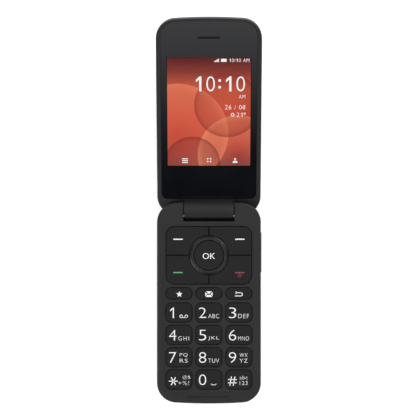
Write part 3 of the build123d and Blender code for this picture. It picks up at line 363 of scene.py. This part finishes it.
shell = mouldedPlastic("moulded_abs_charcoal", shellLook)
keyPlastic = mouldedPlastic("moulded_key_plastic", keyLook)
lidCover = texturedCover("etched_lid_cover", coverLook, onLid)
backCover = texturedCover("etched_battery_cover", coverLook, asItLies)
chrome = darkChrome("smoked_chrome_plate", chromeLook)
lensPrint = windowLens("printed_acrylic_lens", mainWindow, insideRectangle)
outerLensPrint = windowLens("printed_acrylic_outer_lens", outerWindow, insideRectangle)
mainGlow = displayGlass("display_main", mainScreen)
outerGlow = displayGlass("display_outer", outerScreen)
cameraGlass = windowLens("camera_window_acrylic", cameraWindow, insideCircle)
inkLook = {"speck": 0.15 * mm, "dim": 0.86, "roughness": 0.5}
whiteInk = paintedInk("white_pad_print", {**inkLook, "colour": "#e4e4e2"})
greenInk = paintedInk("green_pad_print", {**inkLook, "colour": "#4c9a68"})
redInk = paintedInk("red_pad_print", {**inkLook, "colour": "#7c2a36"})
whitePixels = litPixels("lit_white_pixels", {"speck": 0.3 * mm, "dim": 0.94, "colour": "#ffffff",
                                             "strength": 1.0, "roughness": 0.4})

plainBase = {"stretch": (1, 1, 1), "metallic": 0.0, "roughnessSpread": 0.15, "depthShare": 0.1, "bump": 0.3}
plainLooks = {
    "sheet_steel": {"grain": 0.4 * mm, "dark": "#8a8a8c", "light": "#a4a4a6", "roughness": 0.3,
                    "metallic": 1.0, "stretch": (1, 6, 1)},
    "blackened_steel": {"grain": 0.4 * mm, "dark": "#1c1c1e", "light": "#262628", "roughness": 0.4,
                        "metallic": 1.0, "stretch": (6, 1, 1)},
    "black_nylon": {"grain": 0.2 * mm, "dark": "#141415", "light": "#1c1c1e", "roughness": 0.5},
    "chassis_plastic": {"grain": 0.2 * mm, "dark": "#1d1d1f", "light": "#252527", "roughness": 0.5},
    "silicone_rubber": {"grain": 0.3 * mm, "dark": "#5a5a5e", "light": "#66666a", "roughness": 0.6},
    "solder_mask": {"grain": 0.6 * mm, "dark": "#0f3d2a", "light": "#165238", "roughness": 0.35},
    "copper_sheet": {"grain": 0.3 * mm, "dark": "#9a5a36", "light": "#b87248", "roughness": 0.3,
                     "metallic": 1.0},
    "gold_plate": {"grain": 0.3 * mm, "dark": "#b08a3a", "light": "#d0aa58", "roughness": 0.25,
                   "metallic": 1.0},
    "polyimide_film": {"grain": 0.5 * mm, "dark": "#7a4a12", "light": "#94601c", "roughness": 0.3},
    "cell_wrap": {"grain": 0.5 * mm, "dark": "#5c6066", "light": "#6c7076", "roughness": 0.45},
}
# hole is painted shade: the near black seen through the cloth's openings
clothBase = {"hole": "#050505", "depthShare": 0.3, "bump": 0.6, "metallic": 0.6, "roughness": 0.45}
plain = {name: plainPart(name, {**plainBase, **look}) for name, look in plainLooks.items()}
plain["speaker_cloth"] = meshSteel("woven_wire_cloth", {**clothBase, "pitch": 0.35 * mm, "wire": "#4a4a4c"})
plain["earpiece_cloth"] = meshSteel("blackened_wire_cloth", {**clothBase, "pitch": 0.3 * mm,
                                                             "wire": "#0c0c0d"})
print("materials made")


def deselectAll():
    if bpy.context.mode != "OBJECT":
        bpy.ops.object.mode_set(mode="OBJECT")
    bpy.ops.object.select_all(action="DESELECT")


def finish(piece, name, material, body):
    piece.name = name
    piece.data.name = name
    piece.data.materials.clear()
    piece.data.materials.append(material)
    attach(piece, body)
    return piece


def bodyOf(node):
    return next(body for body, members in frame["record"]["behaviour"]["bodies"].items() if node in members)


# Angles in degrees. Faces that meet at less than flat become one, or at less than flatUnbroken on a
# piece whose edges stay sharp. Where edges are broken, those that turn by more than corner are.
copyLook = {"merge": 0.002 * mm, "flat": 1.0, "flatUnbroken": 0.3, "corner": 25, "smooth": 32,
            "ringSmooth": 45, "keyEdge": 0.1 * mm}


def finishedCopy(node, name, material, edge=0.0, smooth=copyLook["smooth"]):
    # the node's own shape, merged, its edges broken and its curves smoothed
    piece = bpy.data.objects.new(name, nodes[node].data.copy())
    bpy.context.scene.collection.objects.link(piece)
    deselectAll()
    piece.select_set(True)
    bpy.context.view_layer.objects.active = piece
    bpy.ops.object.mode_set(mode="EDIT")
    bpy.ops.mesh.select_all(action="SELECT")
    bpy.ops.mesh.remove_doubles(threshold=copyLook["merge"])
    flat = copyLook["flat"] if edge else copyLook["flatUnbroken"]
    bpy.ops.mesh.dissolve_limited(angle_limit=math.radians(flat))
    bpy.ops.object.mode_set(mode="OBJECT")
    if edge:
        rounding = piece.modifiers.new("edge", "BEVEL")
        rounding.width = edge
        rounding.segments = 2
        rounding.limit_method = "ANGLE"
        rounding.angle_limit = math.radians(copyLook["corner"])
        bpy.ops.object.modifier_apply(modifier="edge")
    bpy.ops.object.shade_smooth_by_angle(angle=math.radians(smooth))
    weighting = piece.modifiers.new("weighting", "WEIGHTED_NORMAL")  # keeps broad faces flat
    weighting.keep_sharp = True
    weighting.weight = 100
    bpy.ops.object.modifier_apply(modifier="weighting")
    finish(piece, name, material, bodyOf(node))
    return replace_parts(piece, node)


shellCopies = {
    "base_front_housing": ("front_shell", shell, "shell"),
    "battery_cover": ("back_shell", backCover, "cover"),
    "lid_inner_frame": ("lid_inner_shell", shell, "shell"),
    "lid_outer_cover": ("lid_outer_shell", lidCover, "cover"),
    "display_lens": ("main_lens", lensPrint, "lens"),
    "outer_display_lens": ("outer_lens", outerLensPrint, "lens"),
    "camera_window": ("camera_cover_glass", cameraGlass, "lens"),
}
for node, (name, material, slotName) in shellCopies.items():
    finishedCopy(node, name, material)

numberKeys = [f"key_{n}" for n in range(1, 10)] + ["key_star", "key_0", "key_hash"]
otherKeys = ["favourites_key", "message_key", "back_key", "soft_key_left", "soft_key_right", "send_key",
             "end_key", "ok_key", "volume_rocker"]
for node in numberKeys + otherKeys:
    finishedCopy(node, node + "_cap", keyPlastic, edge=copyLook["keyEdge"])
finishedCopy("nav_ring", "chrome_ring", chrome, smooth=copyLook["ringSmooth"])
print("shells and keys finished")

# Nodes that keep their own shape, with what each is made of
keptParts = {
    "base_rear_housing": "chassis_plastic", "battery": "cell_wrap", "battery_contacts": "gold_plate",
    "main_board": "solder_mask", "dome_sheet": "sheet_steel", "key_mat": "silicone_rubber",
    "usb_port": "sheet_steel", "headset_jack": "black_nylon", "loudspeaker": "black_nylon",
    "speaker_mesh": "speaker_cloth", "microphone": "sheet_steel", "vibration_motor": "sheet_steel",
    "card_socket": "sheet_steel", "shield_can": "sheet_steel", "antenna": "copper_sheet",
    "housing_screws": "sheet_steel", "hinge_shaft": "blackened_steel",
    "hinge_hollow_pin": "blackened_steel", "nav_pad": "black_nylon", "earpiece": "black_nylon",
    "earpiece_mesh": "earpiece_cloth", "lid_board": "solder_mask", "camera_module": "black_nylon",
    "hinge_cam_housing": "blackened_steel", "hinge_flex": "polyimide_film",
    "lid_magnet": "sheet_steel", "lid_screws": "sheet_steel",
}
keptFinishes = {node: plain[look] for node, look in keptParts.items()}
keptFinishes.update(main_display=mainGlow, outer_display=outerGlow)
for node, material in keptFinishes.items():
    nodes[node].data.materials.clear()
    nodes[node].data.materials.append(material)


def fitMesh(piece, height, x, y, z, width=None):
    # scales a flat mesh to its printed height and sets its middle at the place
    corners = [vertex.co for vertex in piece.data.vertices]
    low = Vector((min(c.x for c in corners), min(c.y for c in corners), 0))
    high = Vector((max(c.x for c in corners), max(c.y for c in corners), 0))
    size = high - low
    factorY = height / size.y
    factorX = width / size.x if width else factorY
    stretch = Matrix.Diagonal((factorX, factorY, 1, 1))
    piece.data.transform(Matrix.Translation((x, y, z)) @ stretch @ Matrix.Translation(-(low + high) / 2))


letterSpacing = 1.12


def drawText(text, height, x, y, z, width=None, weight=0.0, spacing=letterSpacing):
    deselectAll()
    bpy.ops.object.text_add()
    words = bpy.context.object
    words.data.body = text
    words.data.offset = weight
    words.data.space_character = spacing
    words.data.resolution_u = 4
    bpy.ops.object.convert(target="MESH")
    words = bpy.context.object
    fitMesh(words, height, x, y, z, width)
    return words


def drawBar(width, height, x, y, z, rounding=0.0):
    deselectAll()
    bpy.ops.mesh.primitive_plane_add(size=1)
    bar = bpy.context.object
    bar.data.transform(Matrix.Translation((x, y, z)) @ Matrix.Diagonal((width, height, 1, 1)))
    if rounding:
        bpy.ops.object.mode_set(mode="EDIT")
        bpy.ops.mesh.select_all(action="SELECT")
        bpy.ops.mesh.bevel(offset=rounding, segments=4, affect="VERTICES")
        bpy.ops.object.mode_set(mode="OBJECT")
    return bar


def drawShape(corners, x, y, z):
    # a flat printed shape from its corners, in order round its edge
    deselectAll()
    bpy.ops.mesh.primitive_circle_add(vertices=len(corners), radius=1, fill_type="NGON")
    shape = bpy.context.object
    for vertex, corner in zip(shape.data.vertices, corners):
        vertex.co = (x + corner[0], y + corner[1], z)
    shape.data.update()
    if shape.data.polygons[0].normal.z < 0:
        shape.data.flip_normals()
    return shape


def drawArc(radius, stroke, x, y, z, start=0, end=360, steps=32):
    # a band along part of a circle, its angles in degrees
    turns = [math.radians(start + (end - start) * index / steps) for index in range(steps + 1)]
    inner, outer = radius - stroke / 2, radius + stroke / 2
    edge = [(outer * math.cos(t), outer * math.sin(t)) for t in turns]
    edge += [(inner * math.cos(t), inner * math.sin(t)) for t in reversed(turns)]
    return drawShape(edge, x, y, z)


def drawStar(radius, x, y, z, points=5, depth=0.42):
    reaches = [radius if index % 2 == 0 else radius * depth for index in range(2 * points)]
    turns = [math.pi / 2 + index * math.pi / points for index in range(2 * points)]
    return drawShape([(r * math.cos(t), r * math.sin(t)) for r, t in zip(reaches, turns)], x, y, z)


def drawOne(height, stroke, x, y, z):
    # a figure one with its flag, its stem to the right of the middle
    half, reach = height / 2, 0.36 * height
    stem, flag = reach / 2, half - 0.72 * reach
    return drawShape([(stem - stroke, -half), (stem, -half), (stem, half), (stem - 0.8 * stroke, half),
                      (stem - reach, flag + 0.2 * stroke), (stem - reach, flag - stroke),
                      (stem - stroke, half - 1.45 * stroke)], x, y, z)


# Shares of a figure's pitch, stroke and height, and how much its letters are thinned
figures = {"colonPitch": 0.5, "dot": 1.1, "dotRise": 0.22, "width": 0.72, "weight": -0.012}


def drawDigits(digits, look):
    # a row of figures about the origin, with the one drawn from given corners
    height, stroke, pitch = look["height"], look["stroke"], look["pitch"]
    marks = []
    widths = [pitch * (figures["colonPitch"] if digit == ":" else 1) for digit in digits]
    left = -sum(widths) / 2
    for digit, width in zip(digits, widths):
        middle = left + width / 2
        left += width
        if digit == "1":
            marks.append(drawOne(height, stroke, middle, 0, 0))
        elif digit == ":":
            dot = stroke * figures["dot"]
            marks += [drawBar(dot, dot, middle, side * figures["dotRise"] * height, 0) for side in (-1, 1)]
        else:
            marks.append(drawText(digit, height, middle, 0, 0, width=pitch * figures["width"],
                                  weight=figures["weight"]))
    return marks


def drawStroke(start, end, stroke, z):
    # a straight printed line between two points
    run = Vector((end[0] - start[0], end[1] - start[1], 0))
    bar = drawBar(run.length + stroke, stroke, 0, 0, 0, rounding=stroke * 0.35)
    middle = Vector(((start[0] + end[0]) / 2, (start[1] + end[1]) / 2, z))
    turn = Matrix.Rotation(math.atan2(run.y, run.x), 4, "Z")
    bar.data.transform(Matrix.Translation(middle) @ turn)
    return bar


def drawSignal(look):
    # four rising bars from the origin to the right
    bars = []
    for step in range(4):
        rise = look["first"] + look["rise"] * step
        bars.append(drawBar(look["width"], rise, look["pitch"] * step, rise / 2, 0))
    return bars


def joinMarks(marks, name, material, body, turn=None):
    deselectAll()
    for mark in marks:
        mark.select_set(True)
    bpy.context.view_layer.objects.active = marks[0]
    if len(marks) > 1:
        bpy.ops.object.join()
    piece = bpy.context.object
    if turn:
        piece.data.transform(turn)
    return finish(piece, name, material, body)


def keyMiddle(node):
    low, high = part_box(node)
    return (low.x + high.x) / 2, (low.y + high.y) / 2


# Legends of the twelve number keys, from the middle of each key; weights thin the letters
legend = {
    "digitX": -3.3 * mm, "digitHeight": 5.5 * mm, "digitWidth": 3.8 * mm, "baseline": -2.85 * mm,
    "letterX": 2.45 * mm, "letterHeight": 2.15 * mm, "letterWidth": 5.6 * mm, "pairWidth": 4.1 * mm,
    "pairShare": 0.92, "rowPitch": 2.9 * mm, "digitWeight": -0.016, "letterWeight": -0.014,
    "oneStroke": 0.62 * mm, "oneShift": -0.3 * mm, "thin": 0.32 * mm, "bold": 0.5 * mm,
    "signDrop": -0.8 * mm,
}
starSign = {"shift": 0.4 * mm, "arm": 2.1 * mm}
hashSign = {"shift": -0.1 * mm, "reach": 2.0 * mm, "rise": 2.2 * mm, "rowGap": 0.85 * mm,
            "columnGap": 0.9 * mm, "lean": 0.4 * mm}
tapeSign = {"radius": 0.7 * mm, "apart": 1.35 * mm, "lift": 0.95 * mm, "barLift": 0.25 * mm,
            "bar": 2.7 * mm}
spaceSign = {"bar": 2.7 * mm, "barLift": 0.16 * mm, "apart": 1.19 * mm, "rise": 0.8 * mm,
             "riseLift": 0.4 * mm}
keyLetters = {
    "key_2": ["ABC"], "key_3": ["DEF"], "key_4": ["GHI"], "key_5": ["JKL"], "key_6": ["MNO"],
    "key_7": ["PQ", "RS"], "key_8": ["TUV"], "key_9": ["WX", "YZ"],
    "key_star": ["@$", "+%!"], "key_hash": ["abc", "123"],
}
letterFits = {  # rows that differ from the rest
    "@$": {"width": 4.0 * mm, "shift": 1.4 * mm}, "+%!": {"width": legend["letterWidth"]},
    "GHI": {"spacing": 1.25},
}


def numberLegend(node):
    x, y = keyMiddle(node)
    z = keyFace + printLift
    sign = node[4:]
    digitX, signY = x + legend["digitX"], y + legend["signDrop"]
    low = y + legend["baseline"]
    height, thin, bold = legend["digitHeight"], legend["thin"], legend["bold"]
    marks = []
    if sign == "star":
        digitX += starSign["shift"]
        for angle in (0, 60, 120):
            armX = math.cos(math.radians(angle)) * starSign["arm"]
            armY = math.sin(math.radians(angle)) * starSign["arm"]
            marks.append(drawStroke((digitX - armX, signY - armY), (digitX + armX, signY + armY), bold, z))
    elif sign == "hash":
        digitX += hashSign["shift"]
        for side in (-1, 1):
            level, foot = signY + side * hashSign["rowGap"], digitX + side * hashSign["columnGap"]
            marks.append(drawStroke((digitX - hashSign["reach"], level),
                                    (digitX + hashSign["reach"], level), bold, z))
            marks.append(drawStroke((foot - hashSign["lean"], signY - hashSign["rise"]),
                                    (foot + hashSign["lean"], signY + hashSign["rise"]), bold, z))
    elif sign == "1":
        marks.append(drawOne(height, legend["oneStroke"], digitX + legend["oneShift"], low + height / 2, z))
    else:
        marks.append(drawText(sign, height, digitX, low + height / 2, z, width=legend["digitWidth"],
                              weight=legend["digitWeight"]))
    rows = keyLetters.get(node, [])
    paired = len(rows) == 2
    letterX, letterHeight = x + legend["letterX"], legend["letterHeight"]
    for index, row in enumerate(rows):
        fit = letterFits.get(row, {})
        width = fit.get("width", legend["pairWidth"] if paired else legend["letterWidth"])
        lift = legend["rowPitch"] * (len(rows) - 1 - index)
        marks.append(drawText(row, letterHeight * (legend["pairShare"] if paired else 1),
                              letterX + fit.get("shift", 0), low + letterHeight / 2 + lift, z, width=width,
                              weight=legend["letterWeight"], spacing=fit.get("spacing", letterSpacing)))
    if sign == "1":  # two rings on a line: a message tape
        for side in (-1, 1):
            marks.append(drawArc(tapeSign["radius"], thin, letterX + side * tapeSign["apart"],
                                 low + tapeSign["lift"], z))
        marks.append(drawBar(tapeSign["bar"], thin, letterX, low + tapeSign["barLift"], z))
    if sign == "0":  # space mark
        marks.append(drawBar(spaceSign["bar"], thin, letterX, low + spaceSign["barLift"], z))
        for side in (-1, 1):
            marks.append(drawBar(thin, spaceSign["rise"], letterX + side * spaceSign["apart"],
                                 low + spaceSign["riseLift"], z))
    return joinMarks(marks, node + "_legend", whiteInk, node)


for node in numberKeys:
    numberLegend(node)

z = keyFace + printLift
star = {"radius": 1.7 * mm, "shift": 0.2 * mm, "drop": 0.4 * mm}
x, y = keyMiddle("favourites_key")
joinMarks([drawStar(star["radius"], x + star["shift"], y - star["drop"], z)],
          "favourites_key_legend", whiteInk, "favourites_key")

envelope = {"halfWidth": 1.9 * mm, "halfHeight": 1.45 * mm, "fold": 0.42 * mm, "drop": 0.35 * mm}
x, y = keyMiddle("message_key")
y -= envelope["drop"]
halfW, halfH, fold = envelope["halfWidth"], envelope["halfHeight"], envelope["fold"]
tip = -0.25 * halfH  # where the flap ends
marks = [drawShape([(-halfW + fold, halfH), (0, tip + fold), (halfW - fold, halfH)], x, y, z),
         drawShape([(-halfW + 0.5 * fold, -halfH), (-0.3 * halfW, tip + 0.1 * halfH), (0, tip - 0.1 * halfH),
                    (0.3 * halfW, tip + 0.1 * halfH), (halfW - 0.5 * fold, -halfH)], x, y, z)]
marks += [drawShape([(side * halfW, halfH - 0.8 * fold), (side * halfW, -halfH + 0.8 * fold),
                     (side * 0.42 * halfW, 0.05 * halfH)], x, y, z) for side in (-1, 1)]
joinMarks(marks, "message_key_legend", whiteInk, "message_key")

arrow = {"left": 1.85 * mm, "right": 0.95 * mm, "rise": 0.85 * mm, "stroke": 0.42 * mm,
         "head": 0.42 * mm, "drop": 0.45 * mm}
x, y = keyMiddle("back_key")
y -= arrow["drop"]
rise, stroke, head = arrow["rise"], arrow["stroke"], arrow["head"]
left, right = x - arrow["left"], x + arrow["right"]
marks = [drawStroke((left, y + side * rise), (right, y + side * rise), stroke, z) for side in (-1, 1)]
marks.append(drawArc(rise, stroke, right, y, z, start=-90, end=90, steps=16))
marks += [drawStroke((left, y + rise), (left + head, y + rise + side * head), stroke, z) for side in (-1, 1)]
joinMarks(marks, "back_key_legend", whiteInk, "back_key")

# Bars of the four keys round the ring, the power sign below one of them, and the centre key's word
bars = {"x": 16.05 * mm, "topY": 32.9 * mm, "lowY": 15.6 * mm, "width": 4.9 * mm, "height": 0.6 * mm,
        "rounding": 0.12 * mm}
power = {"radius": 0.85 * mm, "stroke": 0.28 * mm, "drop": 1.35 * mm, "stem": 0.9 * mm,
         "stemDrop": 0.75 * mm, "start": 125, "end": 415}
okWord = {"height": 3.1 * mm, "width": 6.5 * mm, "drop": 0.35 * mm}
z = padFace + printLift
for node, side, row, ink in (("soft_key_left", -1, "topY", whiteInk), ("soft_key_right", 1, "topY", whiteInk),
                             ("send_key", -1, "lowY", greenInk), ("end_key", 1, "lowY", redInk)):
    x, y = side * bars["x"], bars[row]
    marks = [drawBar(bars["width"], bars["height"], x, y, z, rounding=bars["rounding"])]
    if node == "end_key":
        marks.append(drawArc(power["radius"], power["stroke"], x, y - power["drop"], z,
                             start=power["start"], end=power["end"]))
        marks.append(drawBar(power["stroke"], power["stem"], x, y - power["stemDrop"], z))
    joinMarks(marks, node + "_legend", ink, node)
x, y = keyMiddle("ok_key")
joinMarks([drawText("OK", okWord["height"], x, y - okWord["drop"], okFace + printLift,
                    width=okWord["width"], spacing=1.0)], "ok_key_legend", whiteInk, "ok_key")
print("legends printed")


def inwards(x, fromHinge, z):
    # a place on the inner side of the shut lid, by its distance from the hinge end
    return Matrix.Translation((x, shut["hingeEnd"] - fromHinge, z)) @ Matrix.Rotation(math.pi, 4, "X")


def outwards(x, fromHinge, z):
    return Matrix.Translation((x, shut["hingeEnd"] - fromHinge, z))


def placeMarks(rows, side, z):
    # each row has its marks, drawn about the origin, and their place on the lid
    placed = []
    for marks, x, fromHinge in rows:
        for mark in marks:
            mark.data.transform(side(x, fromHinge, z))
            placed.append(mark)
    return placed


# What the main display shows, and how far the middle of each row is from the hinge end
displayText = {"time": "10:10", "half": "AM", "date": "26 / 08", "degrees": "21", "weight": -0.01}
mainRows = {"status": 83.2 * mm, "signal": 82.3 * mm, "clock": 70.9 * mm, "half": 64.2 * mm,
            "date": 58.6 * mm, "degreeRing": 55.2 * mm, "degrees": 54.6 * mm, "signs": 30.3 * mm}
mainClock = {"height": 7.9 * mm, "stroke": 1.15 * mm, "pitch": 6.15 * mm}
statusClock = {"height": 1.8 * mm, "stroke": 0.32 * mm, "pitch": 1.42 * mm}
degrees = {"height": 2.3 * mm, "stroke": 0.32 * mm, "pitch": 1.9 * mm}
mainSignal = {"width": 0.5 * mm, "pitch": 0.65 * mm, "first": 0.5 * mm, "rise": 0.42 * mm}
menuSign = {"dot": 0.75 * mm, "pitch": 0.75 * mm, "rounding": 0.15 * mm}
listSign = {"width": 3.0 * mm, "stroke": 0.5 * mm, "pitch": 1.0 * mm, "drop": 0.3 * mm, "rounding": 0.1 * mm}
personSign = {"head": 0.32 * mm, "headStroke": 0.4 * mm, "headRise": 0.6 * mm,
              "shoulders": [(-1.3, -1.5), (1.3, -1.5), (1.15, -0.75), (0.5, -0.3),
                            (-0.5, -0.3), (-1.15, -0.75)]}  # its corners, in millimetres
thin = displayText["weight"]
menuDots = [drawBar(menuSign["dot"], menuSign["dot"], column * menuSign["pitch"], row * menuSign["pitch"], 0,
                    menuSign["rounding"]) for column in (-1, 1) for row in (-1, 1)]
listLines = [drawBar(listSign["width"], listSign["stroke"], 0, level * listSign["pitch"] - listSign["drop"],
                     0, listSign["rounding"]) for level in (-1, 0, 1)]
person = [drawShape([(a * mm, b * mm) for a, b in personSign["shoulders"]], 0, 0, 0),
          drawArc(personSign["head"], personSign["headStroke"], 0, personSign["headRise"], 0, steps=20)]
rows = [
    (drawDigits(displayText["time"], mainClock), 5.5 * mm, mainRows["clock"]),
    ([drawText(displayText["half"], 1.9 * mm, 0, 0, 0, 3.3 * mm, weight=thin)], 17.0 * mm, mainRows["half"]),
    ([drawText(displayText["date"], 2.3 * mm, 0, 0, 0, 10.4 * mm, weight=thin)], 13.5 * mm, mainRows["date"]),
    ([drawArc(0.75 * mm, 0.4 * mm, 0, 0, 0, steps=24)], 12.2 * mm, mainRows["degrees"]),  # sun
    (drawDigits(displayText["degrees"], degrees), 15.9 * mm, mainRows["degrees"]),
    ([drawArc(0.42 * mm, 0.26 * mm, 0, 0, 0, steps=16)], 18.4 * mm, mainRows["degreeRing"]),
    (drawSignal(mainSignal), 2.9 * mm, mainRows["signal"]),
    ([drawBar(2.9 * mm, 1.6 * mm, 0, 0, 0, 0.2 * mm)], 7.6 * mm, mainRows["status"]),  # battery
    (drawDigits(displayText["time"], statusClock), 13.3 * mm, mainRows["status"]),
    ([drawText(displayText["half"], 1.8 * mm, 0, 0, 0, 3.2 * mm)], 19.0 * mm, mainRows["status"]),
    (listLines, -12.4 * mm, mainRows["signs"]),
    (menuDots, 0.1 * mm, mainRows["signs"]),
    (person, 13.6 * mm, mainRows["signs"]),
]
marks = placeMarks(rows, inwards, shut["displayFace"] - pixelLift)
joinMarks(marks, "main_display_signs", whitePixels, "lid", turn=swingOpen)

# What the outer display shows
outerRows = {"battery": 40.6 * mm, "signal": 41.2 * mm, "clock": 49.4 * mm, "half": 54.2 * mm,
             "date": 58.3 * mm}
outerClock = {"height": 5.0 * mm, "stroke": 0.75 * mm, "pitch": 3.75 * mm}
outerSignal = {"width": 0.4 * mm, "pitch": 0.55 * mm, "first": 0.4 * mm, "rise": 0.3 * mm}
rows = [
    (drawDigits(displayText["time"], outerClock), 0, outerRows["clock"]),
    ([drawText(displayText["half"], 1.4 * mm, 0, 0, 0, 2.5 * mm, weight=thin)], 0, outerRows["half"]),
    ([drawText(displayText["date"], 1.9 * mm, 0, 0, 0, 8.2 * mm, weight=thin)], 0, outerRows["date"]),
    (drawSignal(outerSignal), 5.2 * mm, outerRows["signal"]),
    ([drawBar(2.2 * mm, 1.3 * mm, 0, 0, 0, 0.2 * mm)], 9.2 * mm, outerRows["battery"]),
]
marks = placeMarks(rows, outwards, shut["outerDisplayFace"] + pixelLift)
joinMarks(marks, "outer_display_signs", whitePixels, "lid", turn=swingOpen)
print("displays lit")

# Camera: a bright ring round its window and the small lens behind it
ring = drawArc(cameraLook["ringRadius"], cameraLook["ringStroke"], 0, 0, 0, steps=48)
ring.data.transform(outwards(0, cameraLook["fromHinge"], shut["outerLensFace"] + printLift))
joinMarks([ring], "camera_ring", chrome, "lid", turn=swingOpen)

deselectAll()
bpy.ops.mesh.primitive_uv_sphere_add(segments=32, ring_count=16, radius=cameraLook["lensRadius"])
dome = bpy.context.object
bpy.ops.object.mode_set(mode="EDIT")
bpy.ops.mesh.select_all(action="SELECT")
bpy.ops.mesh.bisect(plane_co=(0, 0, cameraLook["lensFlat"]), plane_no=(0, 0, 1), clear_inner=True,
                    use_fill=True)
bpy.ops.object.mode_set(mode="OBJECT")
bpy.ops.object.shade_smooth_by_angle(angle=math.radians(cameraLook["smooth"]))
domeZ = cameraLook["lensTop"] - cameraLook["lensRadius"]
dome.data.transform(swingOpen @ outwards(0, cameraLook["fromHinge"], domeZ))
finish(dome, "camera_lens_dome", cameraGlass, "lid")
print("camera made")


def floorMaterial(look):
    # matt white paper sweep, with a little light of its own that thins the shadows
    material, tree = startMaterial("pale_sweep")
    place = addNode(tree, "TexCoord").outputs["Object"]
    grain = addNode(tree, "TexNoise", {"Vector": place, "Scale": 1 / look["patch"]})
    colour = addNode(tree, "ValToRGB", {"Fac": grain.outputs["Fac"]},
                     [(0.3, look["dark"]), (0.7, look["light"])])
    shader = addNode(tree, "BsdfPrincipled", {
        "Base Color": colour.outputs[0], "Roughness": look["roughness"],
        "Emission Color": linear(look["glow"]), "Emission Strength": look["strength"]})
    addNode(tree, "OutputMaterial", {"Surface": shader.outputs[0]})
    return material


sweep = {"size": 4.0, "gap": 0.2 * mm, "patch": 25 * mm, "dark": "#f1f1f1", "light": "#f4f4f4",
         "roughness": 0.9, "glow": "#ffffff", "strength": 0.35}
deselectAll()
bpy.ops.mesh.primitive_plane_add(size=sweep["size"], location=(0, 0, cadBox[0][2] - sweep["gap"]))
floor = bpy.context.object
floor.name = "floor"
floor.data.materials.append(floorMaterial(sweep))


def skyStops(levels):
    # grey levels by how far they lean from straight up, lowest direction first
    return [(math.cos(math.radians(lean)), (level, level, level, 1)) for lean, level in reversed(levels)]


def studioSky(look):
    # a soft dome: bright overhead, a dark band lower down for glossy faces to mirror, pale at the horizon
    world = bpy.data.worlds.new("studio")
    bpy.context.scene.world = world
    world.use_nodes = True
    tree = world.node_tree
    direction = addNode(tree, "TexCoord").outputs["Generated"]
    split = addNode(tree, "SeparateXYZ", {"Vector": direction})
    height = split.outputs["Z"]
    overhead = addNode(tree, "ValToRGB", {"Fac": height}, skyStops(look["levels"])).outputs[0]
    band = addNode(tree, "ValToRGB", {"Fac": height}, skyStops(look["band"])).outputs[0]
    # soft dark panels stand round the dome, so that round glossy things show light and dark
    bearing = addNode(tree, "Math", {0: split.outputs["Y"], 1: split.outputs["X"]}, operation="ARCTAN2")
    turns = addNode(tree, "Math", {0: bearing.outputs[0], 1: look["panels"]}, operation="MULTIPLY")
    wave = addNode(tree, "Math", {0: turns.outputs[0]}, operation="COSINE")
    panels = addNode(tree, "Math", {0: wave.outputs[0], 1: look["depth"] / 2, 2: look["depth"] / 2},
                     operation="MULTIPLY_ADD")
    grey = addNode(tree, "RGBToBW", {"Color": band})
    dimmed = addNode(tree, "Math", {0: panels.outputs[0], 1: grey.outputs[0]}, operation="MULTIPLY")
    level = addNode(tree, "Mix", {0: dimmed.outputs[0], 6: overhead, 7: (0, 0, 0, 1)}, data_type="RGBA")
    background = tree.nodes["Background"]
    tree.links.new(level.outputs[2], background.inputs["Color"])
    background.inputs["Strength"].default_value = look["strength"]


studioSky({
    "strength": 1.0, "panels": 4.0, "depth": 0.85,
    "levels": [(0, 1.15), (24, 1.2), (27.5, 1.55), (33.8, 0.02), (50, 0.06), (62, 1.1), (90, 1.3)],
    "band": [(0, 0), (11, 0), (16, 1), (24, 1), (28, 0), (90, 0)],
})

# Soft boxes: distance, bearing from +X and lean from straight up, in degrees; size in metres; watts
softBoxes = {
    "upper_right": {"distance": 1.3, "bearing": 50, "lean": 38, "size": 0.8, "watts": 9},
    "lower_left": {"distance": 1.3, "bearing": 215, "lean": 38, "size": 0.7, "watts": 7},
}
aim = Vector((0, hinge.y, 0))
for name, look in softBoxes.items():
    bearing, lean = math.radians(look["bearing"]), math.radians(look["lean"])
    way = Vector((math.cos(bearing) * math.sin(lean), math.sin(bearing) * math.sin(lean), math.cos(lean)))
    bpy.ops.object.light_add(type="AREA", location=aim + way * look["distance"])
    light = bpy.context.object
    light.name = name
    light.data.shape = "SQUARE"
    light.data.size = look["size"]
    light.data.energy = look["watts"]
    light.rotation_euler = way.to_track_quat("Z", "Y").to_euler()

view = {"place": (0.56 * mm, 48.1 * mm, 849.4 * mm), "lens": 138.4, "sensor": 36.0}
bpy.ops.object.camera_add(location=view["place"], rotation=(0, 0, 0))
camera = bpy.context.object
camera.data.lens = view["lens"]
camera.data.sensor_width = view["sensor"]
camera.data.dof.use_dof = False
bpy.context.scene.camera = camera
bpy.context.scene.view_settings.view_transform = "Standard"  # whites stay white
print("stage set")
